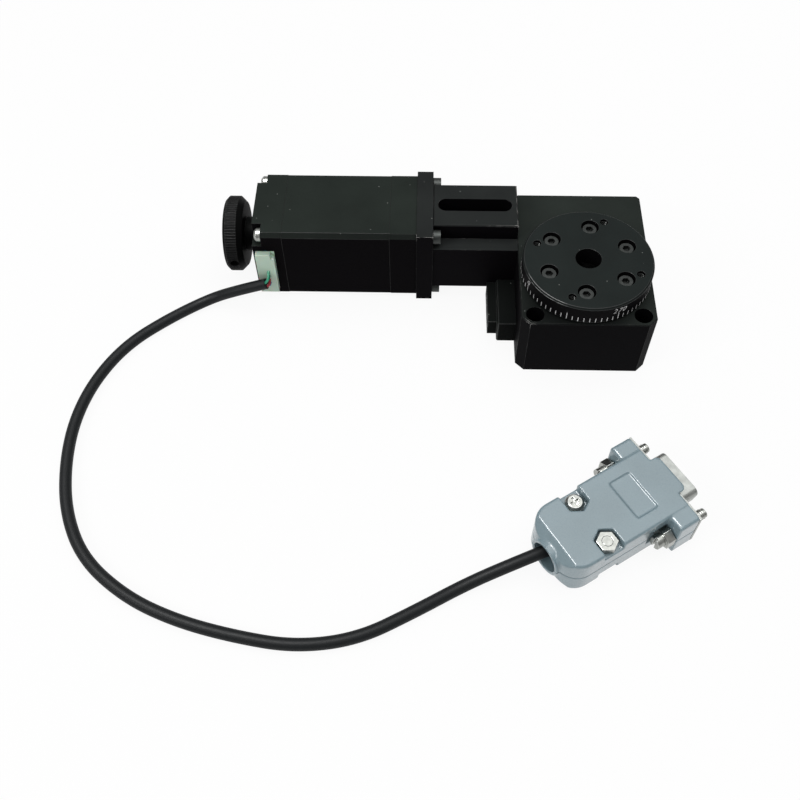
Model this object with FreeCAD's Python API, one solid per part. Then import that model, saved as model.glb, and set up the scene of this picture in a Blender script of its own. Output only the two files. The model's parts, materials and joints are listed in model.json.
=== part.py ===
import FreeCAD, Part
import math
import os

V = FreeCAD.Vector
UP = V(0, 0, 1)
EAST = V(1, 0, 0)
os.makedirs("parts", exist_ok=True)

# Driving sizes, in mm. X right, Y away, Z up, origin on the table axis at the base's underside.

# Base
BASE_X = 20.4
BASE_FRONT = -20.0
BASE_BACK = 34.1
BASE_TOP = 23.4
BASE_FRONT_CUT = 2.6
BASE_BACK_CUT = 1.0
FRONT_HOLE_X = 16.25
FRONT_HOLE_Y = -16.3
FRONT_HOLE_R = 1.7
FRONT_SINK_R = 2.8
FRONT_SINK_FLOOR = 6.0
FOOT_HOLE_PITCH = 25.0
TAP_M3_R = 1.25
FOOT_HOLE_DEPTH = 6.0
EDGE_BREAK = 0.3
DRILL_PAST = 1.0

# Worm and wheel
MODULE = 0.5
TEETH = 72
PRESSURE = math.radians(20)
WORM_PITCH_R = 5.3
BACKLASH = 0.04
THREAD_TURNS = 6.5
THREAD_STEPS = 18
THREAD_SUNK = 0.3
ROOT_DEPTH = 1.25 * MODULE
WHEEL_PITCH_R = MODULE * TEETH / 2
WHEEL_TIP_R = WHEEL_PITCH_R + MODULE
WORM_TIP_R = WORM_PITCH_R + MODULE
WORM_ROOT_R = WORM_PITCH_R - ROOT_DEPTH
WORM_PITCH = math.pi * MODULE
WHEEL_Z0 = 11.5
WHEEL_Z1 = 18.5
DRIVE_Y = WHEEL_PITCH_R + WORM_PITCH_R
DRIVE_Z = (WHEEL_Z0 + WHEEL_Z1) / 2

# Room around the wheel and the worm inside the base
POCKET_GAP = 0.3
POCKET_FLOOR = 11.1
WORM_BORE_R = 6.5
WORM_BORE_END = 15.0
RELIEF_R = 5.0
RELIEF_END = 16.5

# Table bearing and hub
BEARING_OUT_R = 13.0
BEARING_IN_R = 8.5
BEARING_SPLIT_R = 10.4
RUNNING_GAP = 0.08
BEARING_Z0 = 3.2
BEARING_Z1 = 10.2
FLOOR_HOLE_R = 11.2
RETAINER_IN_R = 11.5
STEM_R = 10.0
FLANGE_R = 16.5
BORE_R = 4.0
HUB_Z0 = 0.5
NUT_R = 10.2
NUT_Z0 = 0.7

# Table top
TABLE_R = 20.0
TABLE_Z0 = 23.95
TABLE_Z1 = 30.45
TABLE_BREAK = 0.5
TABLE_SCREWS = 6
TABLE_SCREW_PCD = 26.5
TABLE_SCREW_AT = 23.5
TABLE_SINK_R = 2.75
TABLE_SINK_DEPTH = 3.5
TABLE_SCREW_HOLE_R = 1.35
TABLE_TAPS = 4
TABLE_TAP_PCD = 32.8
TABLE_TAP_AT = 68.5
TABLE_TAP_DEPTH = 5.5
SCREW_M25_R = 1.25
HEAD_M25_R = 2.25
HEAD_M25_H = 2.5
KEY_M25 = 2.0
KEY_FLOOR = 0.45
TABLE_SCREW_LENGTH = 6.0
WHEEL_SCREWS = 3
WHEEL_SCREW_R = 13.6
WHEEL_SCREW_AT = 53.5
SCREW_M2_R = 1.0
HEAD_M2_R = 1.9
WHEEL_SINK_DEPTH = 1.7
WHEEL_HEAD_H = 1.5
WHEEL_SCREW_BITE = 3.5

# Worm shaft
WORM_CORE_END = 7.5
SHOULDER_R = 3.9
JOURNAL_R = 3.0
JOURNAL_START = 10.0
WORM_RING_SPLIT_R = 4.6
STUB_R = 2.5
STUB_DEPTH = 4.9
STUB_START = -BASE_X + STUB_DEPTH
WORM_RETAINER_DEPTH = 2.4
WORM_RETAINER_END = -BASE_X + WORM_RETAINER_DEPTH

# Motor bracket
FLANGE_PROUD = 0.5
FLANGE_TOP = 29.5
BRACKET_REACH = 26.9
FLANGE_THICK = 5.2
FLANGE_X1 = -BASE_X - BRACKET_REACH
FLANGE_X0 = FLANGE_X1 - FLANGE_THICK
BLOCK_Y0 = 9.3
BLOCK_Z0 = 6.0
RIB_HALF = 9.1
RIB_Z0 = 1.0
RIB_Z1 = 29.2
CAVITY_R = 8.5
PILOT_H = 2.0
PILOT_FLOOR_GAP = 0.1
CAVITY_X0 = FLANGE_X0 + PILOT_H + PILOT_FLOOR_GAP
CAVITY_WALL = 1.1
CAVITY_X1 = -BASE_X - CAVITY_WALL
PILOT_R = 11.0
PILOT_GAP = 0.05
SLOT_TO_FLANGE = 1.5
SLOT_TO_BASE = 1.8
SLOT_X0 = FLANGE_X1 + SLOT_TO_FLANGE
SLOT_X1 = -BASE_X - SLOT_TO_BASE
SLOT_W = 5.3
SPIGOT_R = 6.45
SPIGOT_LENGTH = 2.2
SPIGOT_END = -BASE_X + SPIGOT_LENGTH
SPIGOT_BORE_R = 4.5
BRACKET_SCREWS = ((12.0, 8.6), (DRIVE_Y, 3.7))
BRACKET_BITE = 3.0
BRACKET_SEAT_DEPTH = 0.4
BRACKET_HEAD_H = 2.0
SCREW_GAP = 0.1
MOTOR_SCREW_LENGTH = 9.2

# Motor, 28 mm square class
MOTOR_HALF = 14.1
MOTOR_CUT = 1.2
STATOR_CUT = 1.35
MOTOR_FACE = FLANGE_X0
FRONT_CAP_LENGTH = 8.5
STATOR_LENGTH = 34.0
REAR_CAP_LENGTH = 9.7
FRONT_CAP_X = MOTOR_FACE - FRONT_CAP_LENGTH
REAR_CAP_X = FRONT_CAP_X - STATOR_LENGTH
MOTOR_REAR = REAR_CAP_X - REAR_CAP_LENGTH
SCREW_TO_SIDE = 2.5
MOTOR_SCREW_OFF = MOTOR_HALF - SCREW_TO_SIDE
FLANGE_HALF = MOTOR_HALF + FLANGE_PROUD
STATOR_BORE_R = 8.2
ROTOR_R = 7.9
ROTOR_END_GAP = 2.5
MOTOR_BEARING_R = 5.5
MOTOR_BEARING_W = 4.0
FRONT_BEARING_X = MOTOR_FACE - 2.0
REAR_BEARING_X = REAR_CAP_X - 2.0
BEARING_BORE_GAP = 0.05
SHAFT_HOLE_R = 3.0
SHAFT_R = 2.5
CORNER_DEPTH = 3.0
PAN_R = 2.25
PAN_H = 2.1
PAN_BREAK = 0.7
PAN_GAP = 0.25
CROSS_HALF = 1.4
CROSS_SLOT = 0.35
CROSS_DEPTH = 0.8
CORNER_RECESS = SCREW_TO_SIDE + PAN_R + PAN_GAP
CORNER_RECESS_X = MOTOR_REAR + CORNER_DEPTH
CASE_SCREW_R = 1.2
CASE_SCREW_BITE = 3.8

# Connector on the motor's near side
MOTOR_SIDE_Y = DRIVE_Y - MOTOR_HALF
PLUG_TO_REAR = 0.8
PLUG_W = 6.0
PLUG_X0 = MOTOR_REAR + PLUG_TO_REAR
PLUG_X1 = PLUG_X0 + PLUG_W
PLUG_Z0 = 4.2
PLUG_Z1 = 21.8
PLUG_OUT = 1.95
PLUG_FACE_Y = MOTOR_SIDE_Y - PLUG_OUT
HEADER_Z0 = 6.2
HEADER_DEPTH = 4.7
HEADER_WALL = 0.85
TONGUE_GAP = 1.0
LATCH_W = 1.2
LATCH_H = 1.6

# Coupling
COUPLING_R = 7.0
JAW_IN_R = 3.0
JAWS = 3
JAW_WIDTH = 40.0
JAW_GAP = 0.1
SPIDER_STEP = 0.2
COUPLING_TO_BASE = 3.6
COUPLING_HALF_LENGTH = 8.5
COUPLING_MIDDLE = 3.0
COUPLING_B1 = -BASE_X - COUPLING_TO_BASE
COUPLING_B0 = COUPLING_B1 - COUPLING_HALF_LENGTH
COUPLING_A1 = COUPLING_B0 - COUPLING_MIDDLE
COUPLING_A0 = COUPLING_A1 - COUPLING_HALF_LENGTH
SHAFT_TO_MIDDLE = 1.0
STUB_END = COUPLING_B0 + SHAFT_TO_MIDDLE
SHAFT_X1 = COUPLING_A1 - SHAFT_TO_MIDDLE
COUPLING_SCREW_LENGTH = 4.0
KEY_M3 = 1.5
KEY_DEPTH = 1.6

# Hand knob
KNOB_R = 12.25
KNOB_WIDTH = 6.2
KNOB_OUTER_BREAK = 1.0
KNOB_INNER_BREAK = 1.8
KNOB_HUB_R = 5.5
KNOB_GAP = 1.3
KNOB_HUB_LENGTH = 2.9
KNOB_HUB_X = MOTOR_REAR - KNOB_GAP
KNOB_X1 = KNOB_HUB_X - KNOB_HUB_LENGTH
KNOB_X0 = KNOB_X1 - KNOB_WIDTH
KNOB_NOTCHES = 84
KNOB_NOTCH_DEPTH = 0.15
SHAFT_SUNK = 1.0
SHAFT_X0 = KNOB_X0 + SHAFT_SUNK
SET_SCREW_R = 1.5
SET_SCREW_AT = 187.0
SET_SCREW_TOP = 7.5

# Side block, with a raised pad for its two screws
SIDE_BODY = 5.9
SIDE_X0 = -BASE_X - SIDE_BODY
SIDE_Y0 = -9.2
SIDE_Y1 = BLOCK_Y0
SIDE_Z0 = 0.8
SIDE_Z1 = 9.5
SIDE_PAD = 3.0
SIDE_PAD_X = SIDE_X0 - SIDE_PAD
SIDE_PAD_Y0 = -7.4
SIDE_PAD_HALF_H = 3.0
SIDE_SCREW_Y = -0.6
SIDE_SCREW_OFF = 4.1
SIDE_SCREW_Z = 5.2
SIDE_SINK_DEPTH = 2.6
SIDE_SCREW_BITE = 5.0

# D plug, drawn along its own axis: S forward, T left, then turned into place
PLUG_X = 18.7
PLUG_Y = -65.9
PLUG_AT = V(PLUG_X, PLUG_Y, 0)
PLUG_TURN = 33.0
HOOD_H = 14.6
HOOD_MID = HOOD_H / 2
HOOD_HALF = 10.7
HOOD_EDGE_R = 0.9
REAR_S = -40.4
REAR_CORNER_R = 6.5
SLOPE_S = -37.9
SLOPE_DROP = 2.6
NOSE_HALF = 6.2
NOSE_S = 2.0
NOSE_CORNER_R = 1.6
WING_HALF = 15.4
WING_S0 = -7.5
WING_Z = 0.3
WING_EDGE_R = 1.0
PLATE_S0 = -0.8
PLATE_HALF_H = 6.25
NOSE_H = HOOD_MID - PLATE_HALF_H - 0.05
LABEL_S0 = -15.4
LABEL_S1 = -8.2
LABEL_HALF = 6.4
LABEL_DEPTH = 0.5
LABEL_CORNER_R = 0.8
CAVITY_S = -20.0
CAVITY_END = -37.0
CAVITY_FRONT_HALF = 7.6
CAVITY_REAR_HALF = 3.4
CAVITY_FRONT_HALF_H = 5.4
CAVITY_REAR_HALF_H = 4.2
CLAMP_LENGTH = 3.5
INLET_R = 5.7
INLET_LENGTH = 0.9
INLET_HOLE_R = 4.5
GROOVE_W = 0.6
GROOVE_DEPTH = 0.5
JACK_T = 12.5
JACK_R = 1.42
JACK_HOLE_R = 1.5
JACK_HEAD_GAP = 0.3
JACK_HEAD_H = 2.6
JACK_END_R = 2.0
JACK_END_H = 2.6
JACK_REACH = 5.0
JACK_ROOM = 0.35
HOOD_SCREW_S = -26.3
HOOD_SCREW_T = 7.1
HOOD_SCREW_R = 1.5
HOOD_PAN_R = 2.7
HOOD_PAN_H = 1.9
HOOD_NUT_H = 2.2
NUT_FLATS = 5.5
POCKET_FLATS = 6.6
HOOD_POCKET_H = 2.8
SHELL_S = 6.1
SHELL_WALL = 0.5
SHELL_TOP_HALF = 7.65
SHELL_LOW_HALF = 6.35
SHELL_HALF_H = 3.45
SHELL_CORNER_R = 1.5
INSERT_STEP = 0.3
INSERT_BACK = -6.0
INSERT_BACK_HALF_H = 4.2
UPPER_CONTACTS = 5
LOWER_CONTACTS = 4
CONTACT_PITCH = 2.77
CONTACT_ROW = 1.42
CONTACT_R = 0.5
CONTACT_BACK = -9.0
CONTACT_FRONT = 4.6

# Cord
CORD_R = 1.8
CORD_Z = CORD_R + 0.05
ARC_SHARE = 0.45
CORD_POINTS = [
    (-101.2, 5.0, 10.95), (-111.5, 5.0, 7.3), (-121.5, 5.8, CORD_Z), (-134.0, -3.0, CORD_Z),
    (-145.5, -13.5, CORD_Z), (-153.0, -27.0, CORD_Z), (-156.6, -42.0, CORD_Z),
    (-156.2, -58.0, CORD_Z), (-152.5, -74.5, CORD_Z), (-144.5, -89.0, CORD_Z),
    (-130.5, -100.0, CORD_Z), (-115.5, -106.5, CORD_Z), (-99.0, -110.6, CORD_Z),
    (-82.5, -113.0, CORD_Z), (-66.0, -110.5, CORD_Z), (-51.0, -102.5, CORD_Z),
    (-36.5, -94.0, CORD_Z), (-22.5, -89.4, 7.0), (-10.0, -83.9, HOOD_MID),
]
WIRE_R = 0.42
WIRE_HEIGHTS = (14.6, 12.6, 10.6, 8.6)
WIRE_OFF = 0.5
WIRE_X = (PLUG_X0 + PLUG_X1) / 2 + WIRE_OFF
WIRE_SUNK = 1.0
WIRE_SPREAD = 0.5
WIRE_END_X = -102.6
WIRE_END_Y = 5.0
WIRE_END_Z = 10.45
WIRE_END = V(WIRE_END_X, WIRE_END_Y, WIRE_END_Z)


# Small helpers
def save(name, shape):
    shape.exportStep("parts/" + name + ".step")


def box(x0, x1, y0, y1, z0, z1):
    return Part.makeBox(x1 - x0, y1 - y0, z1 - z0, V(x0, y0, z0))


def rod(radius, z0, z1, x=0.0, y=0.0):
    return Part.makeCylinder(radius, z1 - z0, V(x, y, z0), UP)


def ring(inner, outer, z0, z1):
    return rod(outer, z0, z1).cut(rod(inner, z0, z1))


def rod_x(radius, x0, x1, y=DRIVE_Y, z=DRIVE_Z):
    return Part.makeCylinder(radius, x1 - x0, V(x0, y, z), EAST)


def ring_x(inner, outer, x0, x1):
    return rod_x(outer, x0, x1).cut(rod_x(inner, x0, x1))


def prism(points, z0, z1):
    face = Part.Face(Part.makePolygon([V(x, y, z0) for x, y in points + points[:1]]))
    return face.extrude(V(0, 0, z1 - z0))


def prism_x(points, x0, x1):
    face = Part.Face(Part.makePolygon([V(x0, y, z) for y, z in points + points[:1]]))
    return face.extrude(V(x1 - x0, 0, 0))


def hexagon(across_flats):
    radius = across_flats / math.sqrt(3)
    return [(radius * math.cos(math.radians(60 * k)), radius * math.sin(math.radians(60 * k)))
            for k in range(6)]


def on_circle(radius, degrees):
    angle = math.radians(degrees)
    return radius * math.cos(angle), radius * math.sin(angle)


def cut_square(half, corner):
    return [(DRIVE_Y + a, DRIVE_Z + b) for a, b in (
        (-half + corner, -half), (half - corner, -half), (half, -half + corner),
        (half, half - corner), (half - corner, half), (-half + corner, half),
        (-half, half - corner), (-half, -half + corner))]


def motor_screw_places():
    return [(DRIVE_Y + a * MOTOR_SCREW_OFF, DRIVE_Z + b * MOTOR_SCREW_OFF)
            for a in (-1, 1) for b in (-1, 1)]


def table_screw_places():
    return [on_circle(TABLE_SCREW_PCD / 2, TABLE_SCREW_AT + 360 / TABLE_SCREWS * k)
            for k in range(TABLE_SCREWS)]


def wheel_screw_places():
    return [on_circle(WHEEL_SCREW_R, WHEEL_SCREW_AT + 360 / WHEEL_SCREWS * k)
            for k in range(WHEEL_SCREWS)]


def socket_screw(shank, length, head, height, key):
    screw = rod(shank, -length, 0).fuse(rod(head, 0, height))
    if key:
        screw = screw.cut(prism(hexagon(key), height * KEY_FLOOR, height))
    return screw.removeSplitter()


def lay(shape):
    shape.rotate(V(0, 0, 0), V(0, 1, 0), 90)
    shape.translate(V(0, DRIVE_Y, DRIVE_Z))
    return shape


def place_plug(shape):
    shape.rotate(V(0, 0, 0), UP, PLUG_TURN)
    shape.translate(PLUG_AT)
    return shape


# Base body
def base_outline():
    front, back = BASE_FRONT_CUT, BASE_BACK_CUT
    return [(-BASE_X + front, BASE_FRONT), (BASE_X - front, BASE_FRONT),
            (BASE_X, BASE_FRONT + front), (BASE_X, BASE_BACK - back),
            (BASE_X - back, BASE_BACK), (-BASE_X + back, BASE_BACK),
            (-BASE_X, BASE_BACK - back), (-BASE_X, BASE_FRONT + front)]


def base_body():
    body = prism(base_outline(), 0, BASE_TOP)
    rim = [e for e in body.Edges if all(v.Z > BASE_TOP - 0.01 for v in e.Vertexes)]
    body = body.makeChamfer(EDGE_BREAK, rim)
    tools = [rod(WHEEL_TIP_R + POCKET_GAP, POCKET_FLOOR, BASE_TOP + DRILL_PAST),
             rod(BEARING_OUT_R, BEARING_Z0, POCKET_FLOOR + 1),
             rod(FLOOR_HOLE_R, -1, BEARING_Z0 + 1),
             rod_x(WORM_BORE_R, -BASE_X - 1, WORM_BORE_END),
             rod_x(RELIEF_R, 0, RELIEF_END)]
    for side in (-1, 1):
        tools.append(rod(FRONT_HOLE_R, -1, BASE_TOP + 1, side * FRONT_HOLE_X, FRONT_HOLE_Y))
        tools.append(rod(FRONT_SINK_R, FRONT_SINK_FLOOR, BASE_TOP + 1,
                         side * FRONT_HOLE_X, FRONT_HOLE_Y))
        for end in (-1, 1):
            tools.append(rod(TAP_M3_R, -1, FOOT_HOLE_DEPTH,
                             side * FOOT_HOLE_PITCH / 2, end * FOOT_HOLE_PITCH / 2))
        tools.append(rod_x(SCREW_M25_R, -BASE_X - 1, -BASE_X + SIDE_SCREW_BITE,
                           SIDE_SCREW_Y + side * SIDE_SCREW_OFF, SIDE_SCREW_Z))
    for y, z in BRACKET_SCREWS:
        tools.append(rod_x(SCREW_M2_R, -BASE_X - 1, -BASE_X + BRACKET_BITE, y, z))
    return body.cut(tools)


# Table bearing, retainer and the parts that turn with the table
def bearing_rings():
    inner = ring(BEARING_IN_R, BEARING_SPLIT_R, BEARING_Z0, BEARING_Z1)
    outer = ring(BEARING_SPLIT_R + RUNNING_GAP, BEARING_OUT_R, BEARING_Z0, BEARING_Z1)
    return inner, outer


def table_top():
    top = rod(TABLE_R, TABLE_Z0, TABLE_Z1)
    rims = [e for e in top.Edges if isinstance(e.Curve, Part.Circle)]
    top = top.makeChamfer(TABLE_BREAK, rims)
    tools = [rod(BORE_R, TABLE_Z0 - 1, TABLE_Z1 + 1)]
    for x, y in table_screw_places():
        tools.append(rod(TABLE_SCREW_HOLE_R, TABLE_Z0 - 1, TABLE_Z1 + 1, x, y))
        tools.append(rod(TABLE_SINK_R, TABLE_Z1 - TABLE_SINK_DEPTH, TABLE_Z1 + 1, x, y))
    for k in range(TABLE_TAPS):
        x, y = on_circle(TABLE_TAP_PCD / 2, TABLE_TAP_AT + 360 / TABLE_TAPS * k)
        tools.append(rod(TAP_M3_R, TABLE_Z1 - TABLE_TAP_DEPTH, TABLE_Z1 + 1, x, y))
    return top.cut(tools)


def table_screws():
    screws = []
    for x, y in table_screw_places():
        screw = socket_screw(SCREW_M25_R, TABLE_SCREW_LENGTH, HEAD_M25_R, HEAD_M25_H, KEY_M25)
        screw.translate(V(x, y, TABLE_Z1 - TABLE_SINK_DEPTH))
        screws.append(screw)
    return Part.makeCompound(screws)


def hub():
    body = rod(BEARING_IN_R, HUB_Z0, BEARING_Z1)
    body = body.fuse([rod(STEM_R, BEARING_Z1, WHEEL_Z1), rod(FLANGE_R, WHEEL_Z1, TABLE_Z0)])
    tools = [rod(BORE_R, HUB_Z0 - 1, TABLE_Z0 + 1)]
    for x, y in table_screw_places():
        tools.append(rod(SCREW_M25_R, TABLE_Z1 - TABLE_SINK_DEPTH - TABLE_SCREW_LENGTH, TABLE_Z0 + 1, x, y))
    for x, y in wheel_screw_places():
        tools.append(rod(SCREW_M2_R, WHEEL_Z1 - 1, WHEEL_Z1 + WHEEL_SCREW_BITE, x, y))
    return body.cut(tools).removeSplitter()


# Involute half angle of a wheel tooth at a radius
def tooth_half_angle(radius):
    base_r = WHEEL_PITCH_R * math.cos(PRESSURE)
    slope = math.acos(base_r / radius)
    start = math.pi / (2 * TEETH) - BACKLASH / WHEEL_PITCH_R
    return start + (math.tan(PRESSURE) - PRESSURE) - (math.tan(slope) - slope)


def wheel_outline(z, turn):
    root_r = WHEEL_PITCH_R - ROOT_DEPTH
    points = []
    for k in range(TEETH):
        middle = math.pi / 2 + 2 * math.pi * k / TEETH + turn
        for radius, side in ((root_r, -1), (WHEEL_TIP_R, -1), (WHEEL_TIP_R, 1), (root_r, 1)):
            angle = middle + side * tooth_half_angle(radius)
            points.append(V(radius * math.cos(angle), radius * math.sin(angle), z))
    return Part.makePolygon(points + points[:1])


def worm_wheel():
    half = (WHEEL_Z1 - WHEEL_Z0) / 2
    twist = half * WORM_PITCH / (2 * math.pi * WORM_PITCH_R) / WHEEL_PITCH_R
    wheel = Part.makeLoft([wheel_outline(WHEEL_Z0, -twist), wheel_outline(WHEEL_Z1, twist)],
                          True, True)
    tools = [rod(STEM_R, WHEEL_Z0 - 1, WHEEL_Z1 + 1)]
    for x, y in wheel_screw_places():
        tools.append(rod(SCREW_M2_R, WHEEL_Z0 - 1, WHEEL_Z1 + 1, x, y))
        tools.append(rod(HEAD_M2_R, WHEEL_Z0 - 1, WHEEL_Z0 + WHEEL_SINK_DEPTH, x, y))
    return wheel.cut(tools)


def wheel_screws():
    screws = []
    seat = WHEEL_Z0 + WHEEL_SINK_DEPTH
    for x, y in wheel_screw_places():
        head = rod(HEAD_M2_R, seat - WHEEL_HEAD_H, seat, x, y)
        screws.append(head.fuse(rod(SCREW_M2_R, seat, WHEEL_Z1 + WHEEL_SCREW_BITE, x, y)))
    return Part.makeCompound(screws)


# Worm thread from flat facets, one ring of four corners at each step of the turn
def thread_ring(i):
    turn = 2 * math.pi * i / THREAD_STEPS
    along = WORM_PITCH * (i / THREAD_STEPS - THREAD_TURNS / 2)
    low_r = WORM_ROOT_R - THREAD_SUNK
    mid = WORM_PITCH / 4 - BACKLASH
    top = mid - MODULE * math.tan(PRESSURE)
    low = mid + (WORM_PITCH_R - low_r) * math.tan(PRESSURE)
    return [V(r * math.cos(turn), r * math.sin(turn), along + shift)
            for r, shift in ((low_r, -low), (WORM_TIP_R, -top), (WORM_TIP_R, top), (low_r, low))]


def worm_thread():
    rings = [thread_ring(i) for i in range(round(THREAD_TURNS * THREAD_STEPS) + 1)]
    faces = [Part.Face(Part.makePolygon(end + end[:1])) for end in (rings[0], rings[-1])]
    for a, b in zip(rings, rings[1:]):
        for k in range(4):
            n = (k + 1) % 4
            faces.append(Part.Face(Part.makePolygon([a[k], a[n], b[n], a[k]])))
            faces.append(Part.Face(Part.makePolygon([a[k], b[n], b[k], a[k]])))
    shell = Part.Shell(faces)
    shell.sewShape()
    return Part.Solid(shell)


def worm_shaft():
    corners = [on_circle(WORM_ROOT_R, 360 / THREAD_STEPS * k) for k in range(THREAD_STEPS)]
    worm = prism(corners, -WORM_CORE_END, WORM_CORE_END).fuse(worm_thread())
    worm = lay(worm)
    return worm.fuse([rod_x(SHOULDER_R, -JOURNAL_START, -WORM_CORE_END),
                      rod_x(SHOULDER_R, WORM_CORE_END, JOURNAL_START),
                      rod_x(JOURNAL_R, STUB_START, -JOURNAL_START),
                      rod_x(JOURNAL_R, JOURNAL_START, WORM_BORE_END),
                      rod_x(STUB_R, STUB_END, STUB_START)])


def worm_bearings():
    inner, outer = [], []
    for x0 in (JOURNAL_START, -WORM_BORE_END):
        x1 = x0 + WORM_BORE_END - JOURNAL_START
        inner.append(ring_x(JOURNAL_R, WORM_RING_SPLIT_R, x0, x1))
        outer.append(ring_x(WORM_RING_SPLIT_R + RUNNING_GAP, WORM_BORE_R, x0, x1))
    return Part.makeCompound(inner), Part.makeCompound(outer)


# Bracket between base and motor
def slot_tool():
    r = SLOT_W / 2
    z1 = RIB_Z1 + 1
    tool = box(SLOT_X0 + r, SLOT_X1 - r, DRIVE_Y - r, DRIVE_Y + r, DRIVE_Z, z1)
    return tool.fuse([rod(r, DRIVE_Z, z1, SLOT_X0 + r, DRIVE_Y),
                      rod(r, DRIVE_Z, z1, SLOT_X1 - r, DRIVE_Y)])


def motor_bracket():
    flange = box(FLANGE_X0, FLANGE_X1, DRIVE_Y - FLANGE_HALF, DRIVE_Y + FLANGE_HALF, 0, FLANGE_TOP)
    block = box(FLANGE_X1, -BASE_X, BLOCK_Y0, BASE_BACK, BLOCK_Z0, BASE_TOP)
    rib = box(FLANGE_X1, -BASE_X, DRIVE_Y - RIB_HALF, DRIVE_Y + RIB_HALF, RIB_Z0, RIB_Z1)
    long_rims = [e for e in rib.Edges if abs(e.Vertexes[0].Z - e.Vertexes[1].Z) < 0.01
                 and e.Vertexes[0].Z > RIB_Z1 - 0.01]
    rib = rib.makeChamfer(EDGE_BREAK, long_rims)
    bracket = flange.fuse([block, rib, rod_x(SPIGOT_R, -BASE_X - 1, SPIGOT_END)])
    tools = [rod_x(CAVITY_R, CAVITY_X0 - 1, CAVITY_X1), slot_tool(),
             rod_x(PILOT_R + PILOT_GAP, FLANGE_X0 - 1, CAVITY_X0),
             rod_x(SPIGOT_BORE_R, CAVITY_X1 - 1, SPIGOT_END + 1)]
    for y, z in motor_screw_places():
        tools.append(rod_x(TABLE_SCREW_HOLE_R, FLANGE_X0 - 1, FLANGE_X1 + 1, y, z))
        tools.append(rod_x(HEAD_M25_R + SCREW_GAP, FLANGE_X1, FLANGE_X1 + HEAD_M25_H + SCREW_GAP, y, z))
    for y, z in BRACKET_SCREWS:
        tools.append(rod_x(SCREW_M2_R + SCREW_GAP, FLANGE_X0 - 1, -BASE_X + 1, y, z))
        tools.append(rod_x(HEAD_M2_R + SCREW_GAP, FLANGE_X0 - 1, FLANGE_X1 - BRACKET_SEAT_DEPTH, y, z))
    return bracket.cut(tools).removeSplitter()


def bracket_screws():
    screws = []
    seat = FLANGE_X1 - BRACKET_SEAT_DEPTH
    for y, z in BRACKET_SCREWS:
        head = rod_x(HEAD_M2_R, seat - BRACKET_HEAD_H, seat, y, z)
        screws.append(head.fuse(rod_x(SCREW_M2_R, seat, -BASE_X + BRACKET_BITE, y, z)))
    return Part.makeCompound(screws)


def motor_screws():
    screws = []
    for y, z in motor_screw_places():
        screw = socket_screw(SCREW_M25_R, MOTOR_SCREW_LENGTH, HEAD_M25_R, HEAD_M25_H, KEY_M25)
        screw.rotate(V(0, 0, 0), V(0, 1, 0), 90)
        screw.translate(V(FLANGE_X1, y, z))
        screws.append(screw)
    return Part.makeCompound(screws)


# Motor
def front_cap():
    cap = prism_x(cut_square(MOTOR_HALF, MOTOR_CUT), FRONT_CAP_X, MOTOR_FACE)
    cap = cap.fuse(rod_x(PILOT_R, MOTOR_FACE, MOTOR_FACE + PILOT_H))
    seat = FRONT_BEARING_X - MOTOR_BEARING_W
    tools = [rod_x(SHAFT_HOLE_R, FRONT_CAP_X - 1, MOTOR_FACE + PILOT_H + 1),
             rod_x(MOTOR_BEARING_R, seat, FRONT_BEARING_X),
             rod_x(STATOR_BORE_R, FRONT_CAP_X - 1, seat)]
    for y, z in motor_screw_places():
        tools.append(rod_x(SCREW_M25_R, FRONT_CAP_X - 1, MOTOR_FACE + 1, y, z))
    return cap.cut(tools).removeSplitter()


def stator():
    body = prism_x(cut_square(MOTOR_HALF, STATOR_CUT), REAR_CAP_X, FRONT_CAP_X)
    tools = [rod_x(STATOR_BORE_R, REAR_CAP_X - 1, FRONT_CAP_X + 1)]
    for y, z in motor_screw_places():
        tools.append(rod_x(SCREW_M25_R, REAR_CAP_X - 1, FRONT_CAP_X + 1, y, z))
    return body.cut(tools)


def rear_cap():
    cap = prism_x(cut_square(MOTOR_HALF, MOTOR_CUT), MOTOR_REAR, REAR_CAP_X)
    tools = [rod_x(SHAFT_HOLE_R, MOTOR_REAR - 1, REAR_CAP_X + 1),
             rod_x(MOTOR_BEARING_R, REAR_BEARING_X - MOTOR_BEARING_W, REAR_CAP_X + 1)]
    far = MOTOR_HALF + 1
    near = MOTOR_HALF - CORNER_RECESS
    for a in (-1, 1):
        for b in (-1, 1):
            y0, y1 = sorted((DRIVE_Y + a * near, DRIVE_Y + a * far))
            z0, z1 = sorted((DRIVE_Z + b * near, DRIVE_Z + b * far))
            tools.append(box(MOTOR_REAR - 1, CORNER_RECESS_X, y0, y1, z0, z1))
    for y, z in motor_screw_places():
        tools.append(rod_x(SCREW_M25_R, MOTOR_REAR, REAR_CAP_X + 1, y, z))
    tools.append(box(PLUG_X0, PLUG_X1, MOTOR_SIDE_Y - 1, MOTOR_SIDE_Y + HEADER_DEPTH, HEADER_Z0, PLUG_Z1))
    return cap.cut(tools)


# A round head along X whose outer rim is broken, with a cross recess in its face
def cross_head(radius, height, rim):
    head = rod(radius, 0, height)
    edge = [e for e in head.Edges if isinstance(e.Curve, Part.Circle) and e.Curve.Center.z > height / 2]
    head = head.makeChamfer(rim, edge)
    floor = height - CROSS_DEPTH
    slot = box(-CROSS_HALF, CROSS_HALF, -CROSS_SLOT, CROSS_SLOT, floor, height + 1)
    cross = box(-CROSS_SLOT, CROSS_SLOT, -CROSS_HALF, CROSS_HALF, floor, height + 1)
    return head.cut([slot, cross])


def case_screws():
    screws = []
    for y, z in motor_screw_places():
        head = cross_head(PAN_R, PAN_H, PAN_BREAK)
        head.rotate(V(0, 0, 0), V(0, 1, 0), -90)
        head.translate(V(CORNER_RECESS_X, y, z))
        screws.append(head.fuse(rod_x(CASE_SCREW_R, CORNER_RECESS_X, FRONT_CAP_X + CASE_SCREW_BITE, y, z)))
    return Part.makeCompound(screws)


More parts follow.
